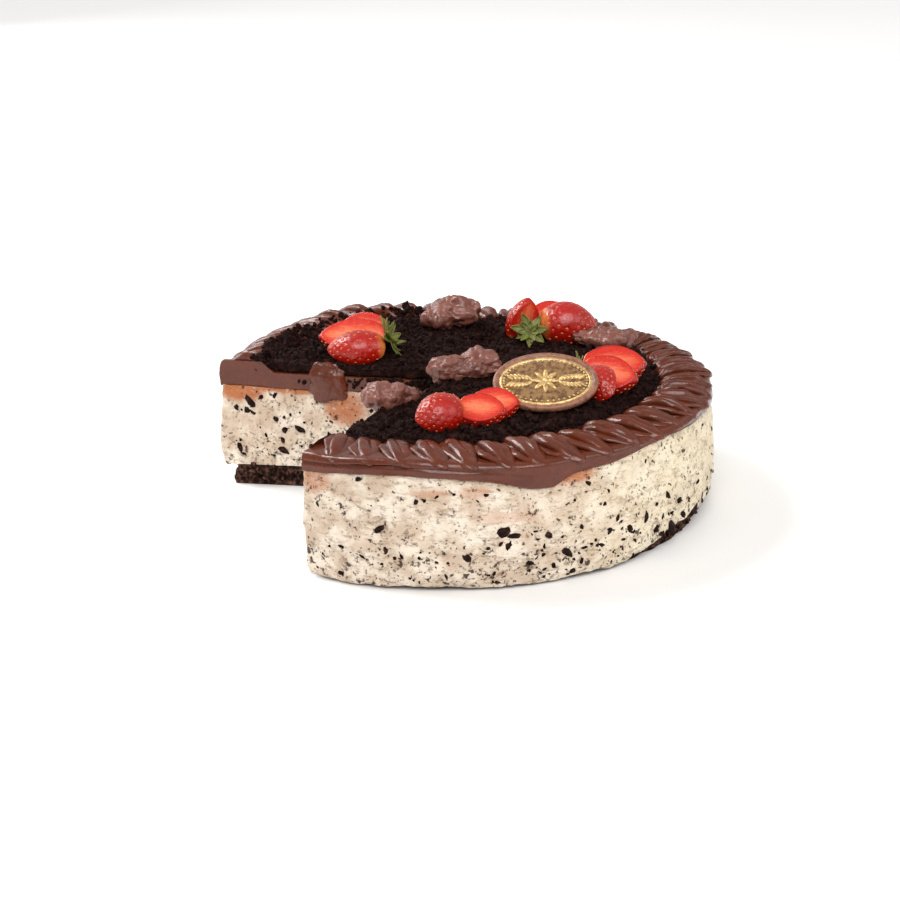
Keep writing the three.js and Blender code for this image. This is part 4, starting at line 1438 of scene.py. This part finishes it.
goldPaint = medallionFinish("goldFinish", (216, 186, 126), (172, 134, 84), 0.45)
fieldPaint = medallionFinish("goldDustedFinish", (150, 114, 72), (98, 66, 42), 0.2)
rimPaint = medallionFinish("medallionRimFinish", (146, 98, 74), (112, 70, 54), 0.0)


def medallionStand(plan):
    return Matrix.Translation(plan["place"]) @ turned("Z", plan["turn"]) @ turned("X", plan["tilt"])


def medallionMesh(plan):
    field = plan["thick"] - 0.8
    profile = [  # inwards from the edge, and up
        (0.9, 0), (0.35, 0.25), (0.1, 0.8), (0, 1.6), (0.15, 2.4), (0.5, 2.95), (1.0, 3.2), (1.6, 3.2),
        (2.1, 3.05), (2.5, 2.75), (2.75, 2.5), (3.0, field), (3.4, field), (3.7, field + 0.35),
        (4.0, field + 0.35), (4.3, field), (8, field + 0.1), (12, field + 0.25),
    ]
    sides = plan["sides"]
    inwards, up = np.array(profile).T[..., None]
    angle = ringAngles(sides)
    x = (plan["long"] / 2 - inwards) * np.cos(angle)
    y = (plan["short"] / 2 - inwards) * np.sin(angle)
    points = [*stacked(x, y, up).reshape(-1, 3), [0, 0, 0], [0, 0, field + 0.3]]
    top = len(points) - 1
    caps = flipped(capFaces(0, sides, top - 1)) + capFaces(top - 1 - sides, sides, top)
    standing = moved(np.array(points), medallionStand(plan))
    mesh = makeMesh("medallion", standing, gridFaces(len(profile), sides) + caps)
    fieldFrom = sum(1 for inwards, _ in profile if inwards <= plan["rim"]) - 1
    return mesh, fieldFrom * sides


discMesh, fieldFrom = medallionMesh(medallionPlan)
disc = addPiece("medallionDisc", discMesh, rimPaint, "medallion", "medallion")
disc.data.materials.append(fieldPaint)
disc.data.materials.append(goldPaint)
underside = len(discMesh.vertices) - 2  # its middle, the last point but one
borderWide = 4 * medallionPlan["sides"]
for face in disc.data.polygons:
    inside = min(face.vertices) - fieldFrom
    if inside >= 0 and underside not in face.vertices:
        face.material_index = 2 if inside < borderWide else 1


def ornamentPlaces(plan):  # a ring of beads, a rosette and two leaf sprays
    field = plan["thick"] - 0.6
    places = []
    beads = (plan["beads"], plan["long"] / 2 - plan["beadRing"], plan["short"] / 2 - plan["beadRing"])
    petals = (plan["petals"], plan["petalRing"], plan["petalRing"])
    for kind, (count, long, short) in enumerate([beads, petals]):
        for n in range(count):
            angle = 2 * math.pi * n / count
            places.append((long * math.cos(angle), short * math.sin(angle), angle, kind))
    leaves = plan["sprayLeaves"]
    for mirror, n, way in product((1, -1), range(leaves), (-1, 1)):
        x = mirror * (plan["sprayStart"] + n * plan["sprayStep"])
        y = way * (plan["sprayHalf"] + plan["sprayBelly"] * n * (1 - n / leaves))
        places.append((x, y, math.pi * (mirror < 0) + way * mirror * plan["sprayTurn"], 2))
    places.append((0, 0, 0, 3))
    stand = medallionStand(plan)
    points = moved(np.array([[x, y, field] for x, y, _, _ in places]), stand)
    turns = eulers(stand.to_3x3() @ Matrix.Rotation(angle, 3, "Z") for _, _, angle, _ in places)
    return points, np.ones((len(places), 3)), turns, [kind for *_, kind in places]


ornamentForms = [(0.6, 0.6, 0.5), (2.9, 1.2, 0.9, 0.25), (2.2, 0.85, 0.9, 0.3), (1.6, 1.6, 1.3)]
ornamentShapes = [domeShape(*form) for form in ornamentForms]
ornamentMesh = placed(ornamentShapes, *ornamentPlaces(medallionPlan), goldPaint)
addPiece("medallionOrnament", ornamentMesh, goldPaint, "medallion")
print("medallion made")


# Floor and light

stagePlan = {
    "floor": 16.0,
    "floorLook": {
        "light": (246, 245, 243), "dark": (250, 249, 248), "sockets": {"Specular IOR Level": 0.2},
    },
    "world": 0.46,
    "worldTint": (1.0, 0.995, 0.985, 1),
    "sun": {"from": (0.1, -1.0, 1.0), "strength": 2.0, "angle": 40},
    "lights": [  # name, place, power, size
        ("keyLight", (-0.85, 0.4, 1.1), 14.0, 0.6),
        ("sideLight", (1.3, -0.5, 0.8), 5.0, 0.9),
        ("backLight", (-1.1, 1.3, 0.55), 9.0, 1.3),
    ],
}


def floorSurface(place, look):
    return mixed(cloud(place, 300), look["light"], look["dark"]), 0.7, None


def makeStage(plan):
    half = plan["floor"] / 2 / mm
    corners = [(-half, -half, -0.2), (half, -half, -0.2), (half, half, -0.2), (-half, half, -0.2)]
    floor = addObject("floor", makeMesh("floor", corners, [(0, 1, 2, 3)]))
    floor.data.materials.append(newFinish("floorFinish", floorSurface, plan["floorLook"]))
    world = bpy.data.worlds.new("studio")
    world.use_nodes = True
    connect(world.node_tree.nodes["Background"], {"Color": plan["worldTint"], "Strength": plan["world"]})
    bpy.context.scene.world = world
    middle = Vector((0, 0, 0.04))
    for name, place, power, size in plan["lights"]:
        data = bpy.data.lights.new(name, "AREA")
        data.energy, data.size = power, size
        light = addObject(name, data)
        light.location = place
        light.rotation_euler = (middle - Vector(place)).to_track_quat("-Z", "Y").to_euler()
    data = bpy.data.lights.new("softSun", "SUN")
    data.energy, data.angle = plan["sun"]["strength"], math.radians(plan["sun"]["angle"])
    sun = addObject("softSun", data)
    sun.rotation_euler = Vector(plan["sun"]["from"]).to_track_quat("Z", "Y").to_euler()
    bpy.context.scene.view_settings.view_transform = "Standard"
    print("floor and lights placed")


makeStage(stagePlan)
